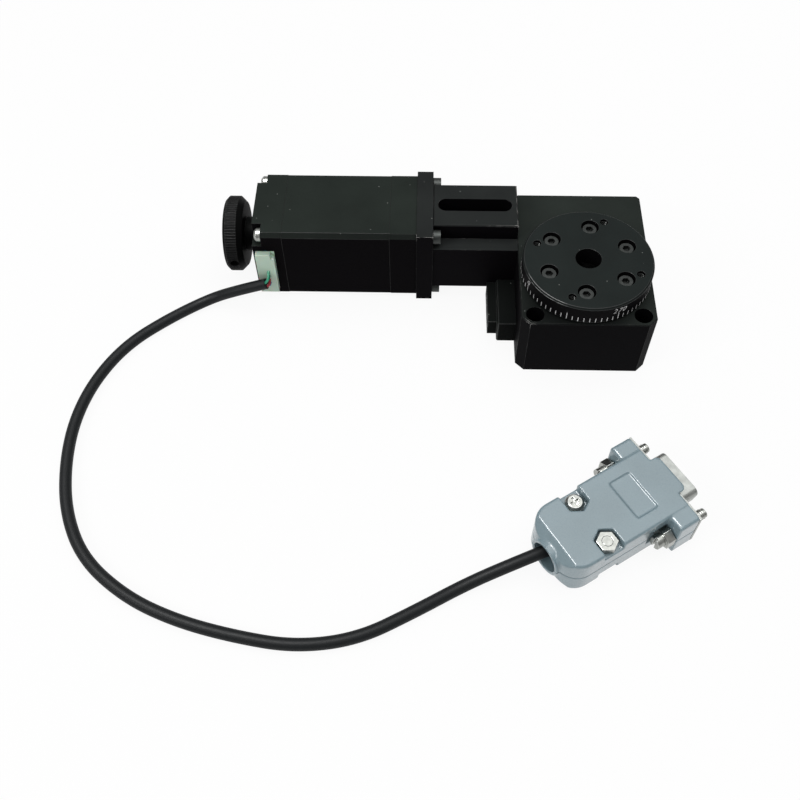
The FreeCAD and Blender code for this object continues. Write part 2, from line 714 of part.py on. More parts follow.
def motor_bearings():
    return Part.makeCompound([ring_x(SHAFT_R + BEARING_BORE_GAP, MOTOR_BEARING_R, x - MOTOR_BEARING_W, x)
                              for x in (FRONT_BEARING_X, REAR_BEARING_X)])


# Connector in the rear cap and the plug in it
def connector():
    header = box(PLUG_X0, PLUG_X1, MOTOR_SIDE_Y, MOTOR_SIDE_Y + HEADER_DEPTH, HEADER_Z0, PLUG_Z1)
    tongue = box(PLUG_X0 + HEADER_WALL, PLUG_X1 - HEADER_WALL, MOTOR_SIDE_Y,
                 MOTOR_SIDE_Y + HEADER_DEPTH - TONGUE_GAP, HEADER_Z0 + HEADER_WALL, PLUG_Z1 - HEADER_WALL)
    plug = box(PLUG_X0, PLUG_X1, PLUG_FACE_Y, MOTOR_SIDE_Y, PLUG_Z0, PLUG_Z1)
    notch = box(PLUG_X1 - LATCH_W, PLUG_X1 + 1, PLUG_FACE_Y - 1, MOTOR_SIDE_Y,
                PLUG_Z1 - LATCH_H, PLUG_Z1 + 1)
    return header.cut(tongue), plug.cut(notch).fuse(tongue).removeSplitter()


# Coupling: two jaw halves and the star between them
def wedge(middle, width, x0, x1):
    far = COUPLING_R + 3
    corners = [(0.0, 0.0), on_circle(far, middle - width / 2),
               on_circle(far, middle + width / 2)]
    cut = prism(corners, x0, x1)
    return cut.common(ring(JAW_IN_R, COUPLING_R, x0, x1))


def coupling_half(x0, x1, jaw_from, jaw_to, first):
    body = rod(COUPLING_R, x0, x1)
    jaws = [wedge(first + 360 / JAWS * k, JAW_WIDTH, jaw_from, jaw_to) for k in range(JAWS)]
    body = body.fuse(jaws).cut(rod(STUB_R, x0 - 1, x1 + 1))
    hole = Part.makeCylinder(SET_SCREW_R, COUPLING_R + 1, V(0, 0, (x0 + x1) / 2), V(-1, 0, 0))
    return lay(body.cut(hole).removeSplitter())


def spider():
    body = rod(COUPLING_R - SPIDER_STEP, COUPLING_A1, COUPLING_B0)
    jaws = [wedge(180 / JAWS * k, JAW_WIDTH, COUPLING_A1, COUPLING_B0) for k in range(2 * JAWS)]
    return lay(body.cut(jaws))


def coupling_set_screws():
    screws = []
    for x0, x1 in ((COUPLING_A0, COUPLING_A1), (COUPLING_B0, COUPLING_B1)):
        screw = rod(SET_SCREW_R, 0, COUPLING_SCREW_LENGTH)
        screw = screw.cut(prism(hexagon(KEY_M3), COUPLING_SCREW_LENGTH - KEY_DEPTH, COUPLING_SCREW_LENGTH))
        screw.rotate(V(0, 0, 0), V(0, 1, 0), -90)
        screw.translate(V(-STUB_R, 0, (x0 + x1) / 2))
        screws.append(lay(screw))
    return Part.makeCompound(screws)


# Motor shaft, rotor and hand knob
def knob():
    points = []
    for k in range(KNOB_NOTCHES):
        step = 360 / KNOB_NOTCHES
        points.append(on_circle(KNOB_R, step * k))
        points.append(on_circle(KNOB_R, step * (k + 0.5)))
        points.append(on_circle(KNOB_R - KNOB_NOTCH_DEPTH, step * (k + 0.75)))
    disc = prism(points, KNOB_X0, KNOB_X1)
    far = KNOB_R + 1
    profile = [(0, KNOB_X0), (KNOB_R - KNOB_OUTER_BREAK, KNOB_X0), (far, KNOB_X0 + KNOB_OUTER_BREAK + 1),
               (far, KNOB_X1 - KNOB_INNER_BREAK - 1), (KNOB_R - KNOB_INNER_BREAK, KNOB_X1), (0, KNOB_X1)]
    face = Part.Face(Part.makePolygon([V(r, 0, x) for r, x in profile + profile[:1]]))
    disc = disc.common(face.revolve(V(0, 0, 0), UP, 360)).fuse(rod(KNOB_HUB_R, KNOB_X1, KNOB_HUB_X))
    disc = lay(disc.cut(rod(SHAFT_R, KNOB_X0 - 1, KNOB_HUB_X + 1)))
    return disc.cut(knob_radial(SET_SCREW_R, SHAFT_R, KNOB_R + 1)).removeSplitter()


# A rod from the knob's axis outwards at the set screw's angle
def knob_radial(radius, r0, r1):
    angle = math.radians(SET_SCREW_AT)
    way = V(0, math.cos(angle), math.sin(angle))
    start = V((KNOB_X0 + KNOB_X1) / 2, DRIVE_Y, DRIVE_Z) + way * r0
    return Part.makeCylinder(radius, r1 - r0, start, way)


def knob_set_screw():
    screw = knob_radial(SET_SCREW_R, SHAFT_R, SET_SCREW_TOP).cut(rod_x(SHAFT_R, KNOB_X0, KNOB_X1))
    return screw.cut(knob_radial(KEY_M3 / 2, SET_SCREW_TOP - KEY_DEPTH, SET_SCREW_TOP + 1))


# Side block with its two screws
def side_screw_places():
    return [(SIDE_SCREW_Y + side * SIDE_SCREW_OFF, SIDE_SCREW_Z) for side in (-1, 1)]


def side_block():
    block = box(SIDE_X0, -BASE_X, SIDE_Y0, SIDE_Y1, SIDE_Z0, SIDE_Z1)
    rims = [e for e in block.Edges if all(v.X < SIDE_X0 + 0.01 for v in e.Vertexes)]
    block = block.makeChamfer(EDGE_BREAK, rims)
    pad = box(SIDE_PAD_X, SIDE_X0 + EDGE_BREAK, SIDE_PAD_Y0, SIDE_Y1,
              SIDE_SCREW_Z - SIDE_PAD_HALF_H, SIDE_SCREW_Z + SIDE_PAD_HALF_H)
    tools = []
    for y, z in side_screw_places():
        tools.append(rod_x(SCREW_M25_R + SCREW_GAP, SIDE_PAD_X - 1, -BASE_X + 1, y, z))
        tools.append(rod_x(HEAD_M25_R + SCREW_GAP, SIDE_PAD_X - 1, SIDE_PAD_X + SIDE_SINK_DEPTH, y, z))
    return block.fuse(pad).cut(tools).removeSplitter()


def side_block_screws():
    screws = []
    seat = SIDE_PAD_X + SIDE_SINK_DEPTH
    for y, z in side_screw_places():
        screw = socket_screw(SCREW_M25_R, -BASE_X + SIDE_SCREW_BITE - seat, HEAD_M25_R, HEAD_M25_H, KEY_M25)
        screw.rotate(V(0, 0, 0), V(0, 1, 0), -90)
        screw.translate(V(seat, y, z))
        screws.append(screw)
    return Part.makeCompound(screws)


# A route through control points: straight runs joined by tangent arcs
def route(points):
    pts = [V(*p) for p in points]
    edges = []
    radii = []
    length = 0.0
    last = pts[0]
    for a, b, c in zip(pts, pts[1:], pts[2:]):
        before = (b - a).normalize()
        after = (c - b).normalize()
        turn = before.getAngle(after)
        radius = ARC_SHARE * min((b - a).Length, (c - b).Length) / math.tan(turn / 2)
        cut = radius * math.tan(turn / 2)
        start = b - before * cut
        end = b + after * cut
        inward = (after - before).normalize()
        middle = b + inward * (radius / math.cos(turn / 2) - radius)
        edges.append(Part.LineSegment(last, start).toShape())
        edges.append(Part.Arc(start, middle, end).toShape())
        length += (start - last).Length + radius * turn
        radii.append(radius)
        last = end
    edges.append(Part.LineSegment(last, pts[-1]).toShape())
    length += (pts[-1] - last).Length
    return Part.Wire(edges), length, radii


def tube(points, radius):
    path, length, radii = route(points)
    way = V(*points[1]) - V(*points[0])
    circle = Part.Circle(V(*points[0]), way, radius)
    shape = path.makePipeShell([Part.Wire(circle.toShape())], True, False)
    return shape, length, radii


def lead_wires():
    wires = []
    for k, z in enumerate(WIRE_HEIGHTS):
        y = WIRE_END.y + (WIRE_SPREAD if k % 2 else -WIRE_SPREAD)
        low = WIRE_END.z + (WIRE_SPREAD if k < len(WIRE_HEIGHTS) / 2 else -WIRE_SPREAD)
        points = [(WIRE_X, PLUG_FACE_Y + WIRE_SUNK, z), (WIRE_X, y, (z + low) / 2), (WIRE_END.x, y, low)]
        wires.append(tube(points, WIRE_R)[0])
    return wires


# D plug
def rod_s(radius, s0, s1, t=0.0, z=HOOD_MID):
    return Part.makeCylinder(radius, s1 - s0, V(s0, t, z), EAST)


# A plate from S0 to S1 whose two corners at one end are rounded in plan
def rounded_plate(s_round, s_flat, half, radius, z0, z1):
    plate = box(min(s_round, s_flat), max(s_round, s_flat), -half, half, z0, z1)
    corners = [e for e in plate.Edges if all(abs(v.X - s_round) < 0.01 for v in e.Vertexes)
               and abs(e.Vertexes[0].Z - e.Vertexes[1].Z) > 0.01]
    return plate.makeFillet(radius, corners)


# The edges that lie in a horizontal plane at one of the given heights
def level_edges(shape, heights):
    return [e for e in shape.Edges
            if any(all(abs(v.Z - z) < 0.01 for v in e.Vertexes) for z in heights)]


def hood_body():
    body = rounded_plate(REAR_S, PLATE_S0, HOOD_HALF, REAR_CORNER_R, 0, HOOD_H)
    rims = [e for e in level_edges(body, (0, HOOD_H)) if e.BoundBox.XMin < PLATE_S0 - 0.01]
    body = body.makeFillet(HOOD_EDGE_R, rims)
    side = [(PLATE_S0, 0), (PLATE_S0, HOOD_H), (SLOPE_S, HOOD_H), (REAR_S, HOOD_H - SLOPE_DROP),
            (REAR_S, SLOPE_DROP), (SLOPE_S, 0)]
    face = Part.Face(Part.makePolygon([V(s, -WING_HALF, z) for s, z in side + side[:1]]))
    return body.common(face.extrude(V(0, 2 * WING_HALF, 0)))


def hood_wings():
    wings = box(WING_S0, PLATE_S0, -WING_HALF, WING_HALF, WING_Z, HOOD_H - WING_Z)
    edges = [e for e in level_edges(wings, (WING_Z, HOOD_H - WING_Z)) if e.BoundBox.XMax < PLATE_S0 - 0.01
             or abs(abs(e.CenterOfMass.y) - WING_HALF) < 0.01]
    return wings.makeFillet(WING_EDGE_R, edges)


def hood_cavity():
    front, rear = CAVITY_FRONT_HALF_H, CAVITY_REAR_HALF_H
    return [box(CAVITY_S, PLATE_S0 + 1, -CAVITY_FRONT_HALF, CAVITY_FRONT_HALF,
                HOOD_MID - front, HOOD_MID + front),
            box(CAVITY_END, CAVITY_S + 1, -CAVITY_REAR_HALF, CAVITY_REAR_HALF,
                HOOD_MID - rear, HOOD_MID + rear),
            rod_s(INLET_HOLE_R, REAR_S - INLET_LENGTH - 1, CAVITY_END + 1)]


# A six-sided pocket that is open to the hood's side, with a flat towards the plug's front
def hood_pocket(side, z0, z1):
    pocket = prism(hexagon(POCKET_FLATS), z0, z1)
    pocket.rotate(V(0, 0, 0), UP, 30)
    pocket.translate(V(HOOD_SCREW_S, side * HOOD_SCREW_T, 0))
    t0, t1 = sorted((side * HOOD_SCREW_T, side * (HOOD_HALF + 1)))
    return pocket.fuse(box(HOOD_SCREW_S - POCKET_FLATS / 2, HOOD_SCREW_S + POCKET_FLATS / 2, t0, t1, z0, z1))


def hood_halves():
    lips = rounded_plate(NOSE_S, PLATE_S0 - 1, NOSE_HALF, NOSE_CORNER_R, 0, HOOD_H)
    lips = lips.cut(box(PLATE_S0, NOSE_S + 1, -WING_HALF, WING_HALF, NOSE_H, HOOD_H - NOSE_H))
    inlet = rod_s(INLET_R, REAR_S - INLET_LENGTH, REAR_S + 1)
    groove = rod_s(INLET_R, REAR_S - GROOVE_DEPTH, REAR_S).cut(
        rod_s(INLET_R - GROOVE_W, REAR_S - GROOVE_DEPTH, REAR_S))
    body = hood_body().fuse([hood_wings(), lips, inlet.cut(groove)])
    label = box(LABEL_S0, LABEL_S1, -LABEL_HALF, LABEL_HALF, HOOD_H - LABEL_DEPTH, HOOD_H + 1)
    label = label.makeFillet(LABEL_CORNER_R, [e for e in label.Edges
                                              if abs(e.Vertexes[0].Z - e.Vertexes[1].Z) > 0.01])
    tools = hood_cavity() + [label]
    for side in (-1, 1):
        tools.append(rod_s(JACK_HOLE_R, WING_S0 - 1, PLATE_S0 + 1, side * JACK_T))
        tools.append(rod_s(NUT_FLATS / math.sqrt(3) + JACK_ROOM, WING_S0 - JACK_HEAD_H - JACK_END_H - 1,
                           WING_S0, side * JACK_T))
        tools.append(hood_pocket(side, -1, HOOD_POCKET_H))
        tools.append(hood_pocket(side, HOOD_H - HOOD_POCKET_H, HOOD_H + 1))
        tools.append(rod(HOOD_SCREW_R + SCREW_GAP, -1, HOOD_H + 1, HOOD_SCREW_S, side * HOOD_SCREW_T))
    body = body.cut(tools).removeSplitter()
    far = 2 * abs(REAR_S)
    top = body.common(box(-far, far, -far, far, HOOD_MID, HOOD_H))
    low = body.common(box(-far, far, -far, far, 0, HOOD_MID))
    return top, low


def cord_clamp():
    return box(CAVITY_END, CAVITY_END + CLAMP_LENGTH, -CAVITY_REAR_HALF, CAVITY_REAR_HALF,
               HOOD_MID - CAVITY_REAR_HALF_H, HOOD_MID + CAVITY_REAR_HALF_H)


# The D outline, wide side up, grown by a step and drawn out along S
def d_prism(grow, s0, s1):
    top, low, h = SHELL_TOP_HALF + grow, SHELL_LOW_HALF + grow, SHELL_HALF_H + grow
    points = [V(s0, t, HOOD_MID + z) for t, z in ((-low, -h), (low, -h), (top, h), (-top, h), (-low, -h))]
    solid = Part.Face(Part.makePolygon(points)).extrude(V(s1 - s0, 0, 0))
    long_edges = [e for e in solid.Edges if abs(e.Vertexes[0].X - e.Vertexes[1].X) > 0.01]
    return solid.makeFillet(SHELL_CORNER_R + grow, long_edges)


def contact_places():
    return [((k - (count - 1) / 2) * CONTACT_PITCH, height)
            for count, height in ((UPPER_CONTACTS, CONTACT_ROW), (LOWER_CONTACTS, -CONTACT_ROW))
            for k in range(count)]


def plug_shell():
    z0, z1 = HOOD_MID - PLATE_HALF_H, HOOD_MID + PLATE_HALF_H
    plate = box(PLATE_S0, 0, -WING_HALF, WING_HALF, z0, z1)
    shell = plate.fuse(d_prism(SHELL_WALL, 0, SHELL_S))
    tools = [d_prism(0, PLATE_S0 - 1, SHELL_S + 1)]
    for side in (-1, 1):
        tools.append(rod_s(JACK_HOLE_R, PLATE_S0 - 1, 1, side * JACK_T))
    return shell.cut(tools)


def plug_insert():
    body = d_prism(0, PLATE_S0, SHELL_S - INSERT_STEP)
    body = body.fuse(box(INSERT_BACK, PLATE_S0, -CAVITY_FRONT_HALF, CAVITY_FRONT_HALF,
                         HOOD_MID - INSERT_BACK_HALF_H, HOOD_MID + INSERT_BACK_HALF_H))
    holes = [rod_s(CONTACT_R, INSERT_BACK - 1, SHELL_S + 1, t, HOOD_MID + z) for t, z in contact_places()]
    return body.cut(holes)


def plug_contacts():
    return Part.makeCompound([rod_s(CONTACT_R, CONTACT_BACK, CONTACT_FRONT, t, HOOD_MID + z)
                              for t, z in contact_places()])


# One screw goes down and the other up, each with its nut in the pocket on the far side
def hood_screws():
    screws = []
    nuts = []
    seat = HOOD_H - HOOD_POCKET_H
    nut_end = HOOD_POCKET_H - HOOD_NUT_H
    for side in (1, -1):
        head = cross_head(HOOD_PAN_R, HOOD_PAN_H, PAN_BREAK)
        head.translate(V(0, 0, seat))
        screw = rod(HOOD_SCREW_R, nut_end, seat).fuse(head)
        nut = prism(hexagon(NUT_FLATS), nut_end, HOOD_POCKET_H).cut(rod(HOOD_SCREW_R, -1, seat))
        nut.rotate(V(0, 0, 0), UP, 30)
        for shape, kept in ((screw, screws), (nut, nuts)):
            if side < 0:
                shape.rotate(V(0, 0, HOOD_MID), EAST, 180)
            shape.translate(V(HOOD_SCREW_S, side * HOOD_SCREW_T, 0))
            kept.append(shape)
    return Part.makeCompound(screws), Part.makeCompound(nuts)


def jack_screw(side):
    seat = WING_S0 - JACK_HEAD_GAP
    back = seat - JACK_HEAD_H
    body = prism(hexagon(NUT_FLATS), back, seat)
    body = body.fuse([rod(JACK_END_R, back - JACK_END_H, back), rod(JACK_R, seat, JACK_REACH)])
    slot = box(-JACK_END_R - 1, JACK_END_R + 1, -CROSS_SLOT, CROSS_SLOT,
               back - JACK_END_H - 1, back - JACK_END_H + CROSS_DEPTH)
    body = body.cut(slot)
    body.rotate(V(0, 0, 0), V(0, 1, 0), 90)
    body.translate(V(0, side * JACK_T, HOOD_MID))
    return body


# Build and save every node
inner_ring, outer_ring = bearing_rings()
worm_inner, worm_outer = worm_bearings()
header, plug = connector()
cord, cord_length, cord_radii = tube(CORD_POINTS, CORD_R)
hood_top, hood_low = hood_halves()
plug_screws, plug_nuts = hood_screws()

nodes = {
    "base_body": base_body(),
    "table_bearing_outer_ring": outer_ring,
    "bearing_retainer": ring(RETAINER_IN_R, BEARING_OUT_R, BEARING_Z1, POCKET_FLOOR),
    "worm_bearing_outer_rings": worm_outer,
    "worm_retainer": ring_x(RELIEF_R, WORM_BORE_R, WORM_RETAINER_END, -WORM_BORE_END),
    "motor_bracket": motor_bracket(),
    "bracket_screws": bracket_screws(),
    "motor_screws": motor_screws(),
    "motor_front_cap": front_cap(),
    "motor_stator": stator(),
    "motor_rear_cap": rear_cap(),
    "motor_case_screws": case_screws(),
    "motor_bearings": motor_bearings(),
    "connector_header": header,
    "connector_plug": plug,
    "lead_wires": Part.makeCompound(lead_wires()),
    "side_block": side_block(),
    "side_block_screws": side_block_screws(),
    "cord": cord,
    "cord_clamp": place_plug(cord_clamp()).cut(cord),
    "plug_hood_top": place_plug(hood_top),
    "plug_hood_bottom": place_plug(hood_low),
    "plug_shell": place_plug(plug_shell()),
    "plug_insert": place_plug(plug_insert()),
    "plug_contacts": place_plug(plug_contacts()),
    "plug_hood_screws": place_plug(plug_screws),
    "plug_hood_nuts": place_plug(plug_nuts),
    "jack_screw_left": place_plug(jack_screw(1)),
    "jack_screw_right": place_plug(jack_screw(-1)),
    "table_top": table_top(),
    "table_screws": table_screws(),
    "hub": hub(),
    "worm_wheel": worm_wheel(),
    "wheel_screws": wheel_screws(),
    "table_bearing_inner_ring": inner_ring,
    "hub_lock_nut": ring(BEARING_IN_R, NUT_R, NUT_Z0, BEARING_Z0),
    "worm_shaft": worm_shaft(),
    "worm_bearing_inner_rings": worm_inner,
    "coupling_hub_worm": coupling_half(COUPLING_B0, COUPLING_B1, COUPLING_A1 + JAW_GAP,
                                       COUPLING_B0, 0),
    "coupling_spider": spider(),
    "coupling_hub_motor": coupling_half(COUPLING_A0, COUPLING_A1, COUPLING_A1,
                                        COUPLING_B0 - JAW_GAP, 180 / JAWS),
    "coupling_set_screws": coupling_set_screws(),
    "motor_shaft": rod_x(SHAFT_R, SHAFT_X0, SHAFT_X1),
    "motor_rotor": ring_x(SHAFT_R, ROTOR_R, REAR_CAP_X + ROTOR_END_GAP,
                          FRONT_CAP_X - ROTOR_END_GAP),
    "hand_knob": knob(),
    "knob_set_screw": knob_set_screw(),
}

for name, shape in nodes.items():
    save(name, shape)

print("cord length", round(cord_length, 1), "least arc radius", round(min(cord_radii), 1))
print("cord arc radii", [round(r, 1) for r in cord_radii])
print("cord volume", round(cord.Volume, 1), "against", round(math.pi * CORD_R ** 2 * cord_length, 1))
print("nodes", len(nodes))
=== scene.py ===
import bpy
import json
import math
from mathutils import Matrix, Vector

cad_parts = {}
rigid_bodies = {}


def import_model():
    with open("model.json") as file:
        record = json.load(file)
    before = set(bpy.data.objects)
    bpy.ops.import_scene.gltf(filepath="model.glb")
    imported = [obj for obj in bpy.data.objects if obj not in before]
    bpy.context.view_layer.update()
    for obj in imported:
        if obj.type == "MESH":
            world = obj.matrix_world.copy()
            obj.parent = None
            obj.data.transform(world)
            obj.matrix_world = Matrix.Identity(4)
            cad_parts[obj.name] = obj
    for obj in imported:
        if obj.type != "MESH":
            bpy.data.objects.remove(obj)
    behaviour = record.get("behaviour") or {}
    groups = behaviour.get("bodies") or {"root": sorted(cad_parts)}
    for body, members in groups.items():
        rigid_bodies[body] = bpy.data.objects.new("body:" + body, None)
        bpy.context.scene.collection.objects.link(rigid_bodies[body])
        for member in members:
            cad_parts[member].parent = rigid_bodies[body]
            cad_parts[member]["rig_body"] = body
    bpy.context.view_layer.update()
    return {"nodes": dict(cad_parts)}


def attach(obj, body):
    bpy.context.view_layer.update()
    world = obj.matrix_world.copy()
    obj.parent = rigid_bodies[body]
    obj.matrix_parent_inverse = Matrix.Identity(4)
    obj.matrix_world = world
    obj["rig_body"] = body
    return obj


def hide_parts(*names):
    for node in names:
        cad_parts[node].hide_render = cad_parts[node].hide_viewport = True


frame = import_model()
nodes = frame["nodes"]

# The photographer's camera
# A short tele lens looks down at about 56 degrees from in front of the stage.
# Its place was worked out from the square motor, the round table and the D plug.
CAMERA_AT = Vector((-0.04963, -0.20019, 0.25153))
CAMERA_PITCH = math.radians(56.28)
CAMERA_YAW = math.radians(-2.45)
CAMERA_ROLL = math.radians(-1.13)
CAMERA_LENS = 43.51
CAMERA_SENSOR = 36.0
CAMERA_NEAR = 0.01
scene = bpy.context.scene
scene.view_settings.view_transform = "Standard"
forward = Vector((math.sin(CAMERA_YAW) * math.cos(CAMERA_PITCH),
                  math.cos(CAMERA_YAW) * math.cos(CAMERA_PITCH),
                  -math.sin(CAMERA_PITCH)))
level = Vector((math.cos(CAMERA_YAW), -math.sin(CAMERA_YAW), 0))
above = level.cross(forward)
side_axis = level * math.cos(CAMERA_ROLL) + above * math.sin(CAMERA_ROLL)
up_axis = above * math.cos(CAMERA_ROLL) - level * math.sin(CAMERA_ROLL)
bpy.ops.object.camera_add(location=CAMERA_AT)
camera = bpy.context.object
turn = Matrix((side_axis, up_axis, -forward)).transposed().to_4x4()
camera.matrix_world = Matrix.Translation(CAMERA_AT) @ turn
camera.data.lens = CAMERA_LENS
camera.data.sensor_width = CAMERA_SENSOR
camera.data.clip_start = CAMERA_NEAR
scene.camera = camera

# The white paper sweep the stage stands on
# Matt white paper that the photograph shows burnt out to pure white, so what the camera and
# polished metal see of it is mostly a white glow, and a faint shadow stays under the object.
PAPER_SIZE = 6.0
PAPER_GLOW = 0.92
PAPER_TONE = (0.92, 0.92, 0.92, 1)
PURE_WHITE = (1, 1, 1, 1)


# One arithmetic node: each of its two inputs is a plain number or another node's output
def reckoned(tree, operation, first, second):
    node = tree.nodes.new("ShaderNodeMath")
    node.operation = operation
    for socket, value in zip(node.inputs, (first, second)):
        if isinstance(value, bpy.types.NodeSocket):
            tree.links.new(value, socket)
        else:
            socket.default_value = value
    return node.outputs[0]


bpy.ops.mesh.primitive_plane_add(size=PAPER_SIZE, location=(0, 0, 0))
paper = bpy.context.object
paper.name = "paper_sweep"
paper_look = bpy.data.materials.new("white_paper")
paper_look.use_nodes = True
tree = paper_look.node_tree
tree.nodes.clear()
paper_out = tree.nodes.new("ShaderNodeOutputMaterial")
paper_mix = tree.nodes.new("ShaderNodeMixShader")
paper_matt = tree.nodes.new("ShaderNodeBsdfDiffuse")
paper_matt.inputs["Color"].default_value = PAPER_TONE
paper_glow = tree.nodes.new("ShaderNodeEmission")
paper_glow.inputs["Color"].default_value = PURE_WHITE
rays = tree.nodes.new("ShaderNodeLightPath").outputs
seen = reckoned(tree, "MAXIMUM", rays["Is Camera Ray"], rays["Is Glossy Ray"])
seen = reckoned(tree, "MAXIMUM", seen, rays["Is Transmission Ray"])
tree.links.new(reckoned(tree, "MULTIPLY", seen, PAPER_GLOW), paper_mix.inputs[0])
tree.links.new(paper_matt.outputs[0], paper_mix.inputs[1])
tree.links.new(paper_glow.outputs[0], paper_mix.inputs[2])
tree.links.new(paper_mix.outputs[0], paper_out.inputs["Surface"])
paper.data.materials.append(paper_look)

# The studio light
# One wide soft box overhead, a small one from the front left, a panel up on the left that only
# shines in glossy edges and plating, and a pale room brighter overhead than at the horizon.
SOFT_BOXES = (
    ("soft_box_above", (0.12, 0.10, 0.85), (0.9, 0.7), 3.4),
    ("soft_box_left", (-0.62, -0.40, 0.50), (0.30, 0.30), 1.7),
    ("panel_left", (-0.345, -0.025, 0.79), (0.30, 0.30), 6.5),
)
LIT_MIDDLE = Vector((-0.04, -0.03, 0.01))
ROOM_LOW = 0.05
ROOM_HIGH = 0.9
ROOM_AT_HORIZON = 0.22
ROOM_OVERHEAD = 0.62


# A value carried from one range into another and held there; the ranges named further on
# give their two source values first, then the two they are carried to
def ranged(tree, value, low, high, to_low=0.0, to_high=1.0):
    node = tree.nodes.new("ShaderNodeMapRange")
    node.inputs["From Min"].default_value = low
    node.inputs["From Max"].default_value = high
    node.inputs["To Min"].default_value = to_low
    node.inputs["To Max"].default_value = to_high
    tree.links.new(value, node.inputs["Value"])
    return node.outputs[0]


for box_name, place, spread, power in SOFT_BOXES:
    bpy.ops.object.light_add(type="AREA", location=place)
    lamp = bpy.context.object
    lamp.name = box_name
    lamp.data.shape = "RECTANGLE"
    lamp.data.size = spread[0]
    lamp.data.size_y = spread[1]
    lamp.data.energy = power
    lamp.rotation_euler = (LIT_MIDDLE - Vector(place)).to_track_quat("-Z", "Y").to_euler()
    lamp.visible_diffuse = box_name != "panel_left"
room = bpy.data.worlds.new("pale_room")
scene.world = room
room.use_nodes = True
tree = room.node_tree
tree.nodes.clear()
room_out = tree.nodes.new("ShaderNodeOutputWorld")
room_way = tree.nodes.new("ShaderNodeTexCoord")
room_parts = tree.nodes.new("ShaderNodeSeparateXYZ")
tree.links.new(room_way.outputs["Generated"], room_parts.inputs[0])
room_light = tree.nodes.new("ShaderNodeBackground")
room_light.inputs["Color"].default_value = PURE_WHITE
room_fade = ranged(tree, room_parts.outputs["Z"], ROOM_LOW, ROOM_HIGH,
                   ROOM_AT_HORIZON, ROOM_OVERHEAD)
tree.links.new(room_fade, room_light.inputs["Strength"])
room_seen = tree.nodes.new("ShaderNodeBackground")
room_seen.inputs["Color"].default_value = PURE_WHITE
room_seen.inputs["Strength"].default_value = 1.0
room_mix = tree.nodes.new("ShaderNodeMixShader")
rays = tree.nodes.new("ShaderNodeLightPath").outputs
seen = reckoned(tree, "MAXIMUM", rays["Is Camera Ray"], rays["Is Transmission Ray"])
tree.links.new(seen, room_mix.inputs[0])
tree.links.new(room_light.outputs[0], room_mix.inputs[1])
tree.links.new(room_seen.outputs[0], room_mix.inputs[2])
tree.links.new(room_mix.outputs[0], room_out.inputs["Surface"])

# Base body
# A milled block of aluminium, bead blasted and anodised black. Upward faces are painted lighter,
# partly a thin film of dust and partly painted sheen from the light above, and carry a few specks.
# The ledge under the table's rim carries a painted shadow, and the broken edges are worn a little
# and carry a painted highlight near the front left corner.
EDGE_BREAK = 0.00012
MERGE_GAP = 1e-6
FLAT_ANGLE = math.radians(1)
SHARP_ANGLE = math.radians(32)
SMOOTH_ANGLE = math.radians(30)
FACING_UP = (0.3, 0.98)
# Cloud and patches of the upward faces' lighter tone, which is partly dust and partly painted sheen
DUST_AND_SHEEN_CLOUD = 55
DUST_AND_SHEEN_PATCHES = (0.3, 0.7, 0.82, 1.15)
BLASTED_GRAIN = 2600
BLASTED_STRENGTH = 0.15
BLASTED_DEPTH = 0.00005
SPECK_SCALE = 420
SPECK_REACH = 0.075
SPECK_SHARE = 0.35
SPECK_TONE = (0.16, 0.17, 0.16, 1)
# How much of the upward faces' lighter tone is left inside the painted shadow under the table's rim
LEDGE_SHADOW_LEVEL = 0.35
CHIP_SCALE = 700
CHIPPED = (0.36, 0.50)
WEAR_SCALE = 110
WEAR_PATCHES = (0.60, 0.80, 0.0, 0.45)
HIGHLIGHT_CORE = 0.4
EDGE_ROUGHNESS = (0.34, 0.5)
EDGE_SHINE = 0.3
# A painted highlight on the broken edges at the base's front left top corner
BASE_CORNER_HIGHLIGHT = (-0.0182, -0.0199, 0.0233)
# Where the table's rim casts a painted shadow on the base's front ledge
FRONT_LEDGE_SHADOW = ((-0.004, -0.017, 0.0235), 0.011, 0.024)


# The start of each material: its tree, its shader and the object's own coordinates
def new_look(name):
    look = bpy.data.materials.new(name)
    look.use_nodes = True
    tree = look.node_tree
    place = tree.nodes.new("ShaderNodeTexCoord").outputs
    return look, tree, tree.nodes["Principled BSDF"], place


def noise(tree, place, scale, detail=2):
    node = tree.nodes.new("ShaderNodeTexNoise")
    node.inputs["Scale"].default_value = scale
    node.inputs["Detail"].default_value = detail
    tree.links.new(place["Object"], node.inputs["Vector"])
    return node.outputs["Fac"]


def distance_to(tree, place, point):
    node = tree.nodes.new("ShaderNodeVectorMath")
    node.operation = "DISTANCE"
    node.inputs[1].default_value = point
    tree.links.new(place["Object"], node.inputs[0])
    return node.outputs["Value"]


# A colour mixed from two, the first of which is a plain colour or another node's output
def mixed(tree, factor, first, second, held=True):
    node = tree.nodes.new("ShaderNodeMix")
    node.data_type = "RGBA"
    node.clamp_factor = held
    tree.links.new(factor, node.inputs["Factor"])
    if isinstance(first, bpy.types.NodeSocket):
        tree.links.new(first, node.inputs["A"])
    else:
        node.inputs["A"].default_value = first
    node.inputs["B"].default_value = second
    return node.outputs["Result"]


def bumped(tree, shader, height, strength, depth):
    bump = tree.nodes.new("ShaderNodeBump")
    bump.inputs["Strength"].default_value = strength
    bump.inputs["Distance"].default_value = depth
    tree.links.new(height, bump.inputs["Height"])
    tree.links.new(bump.outputs["Normal"], shader.inputs["Normal"])
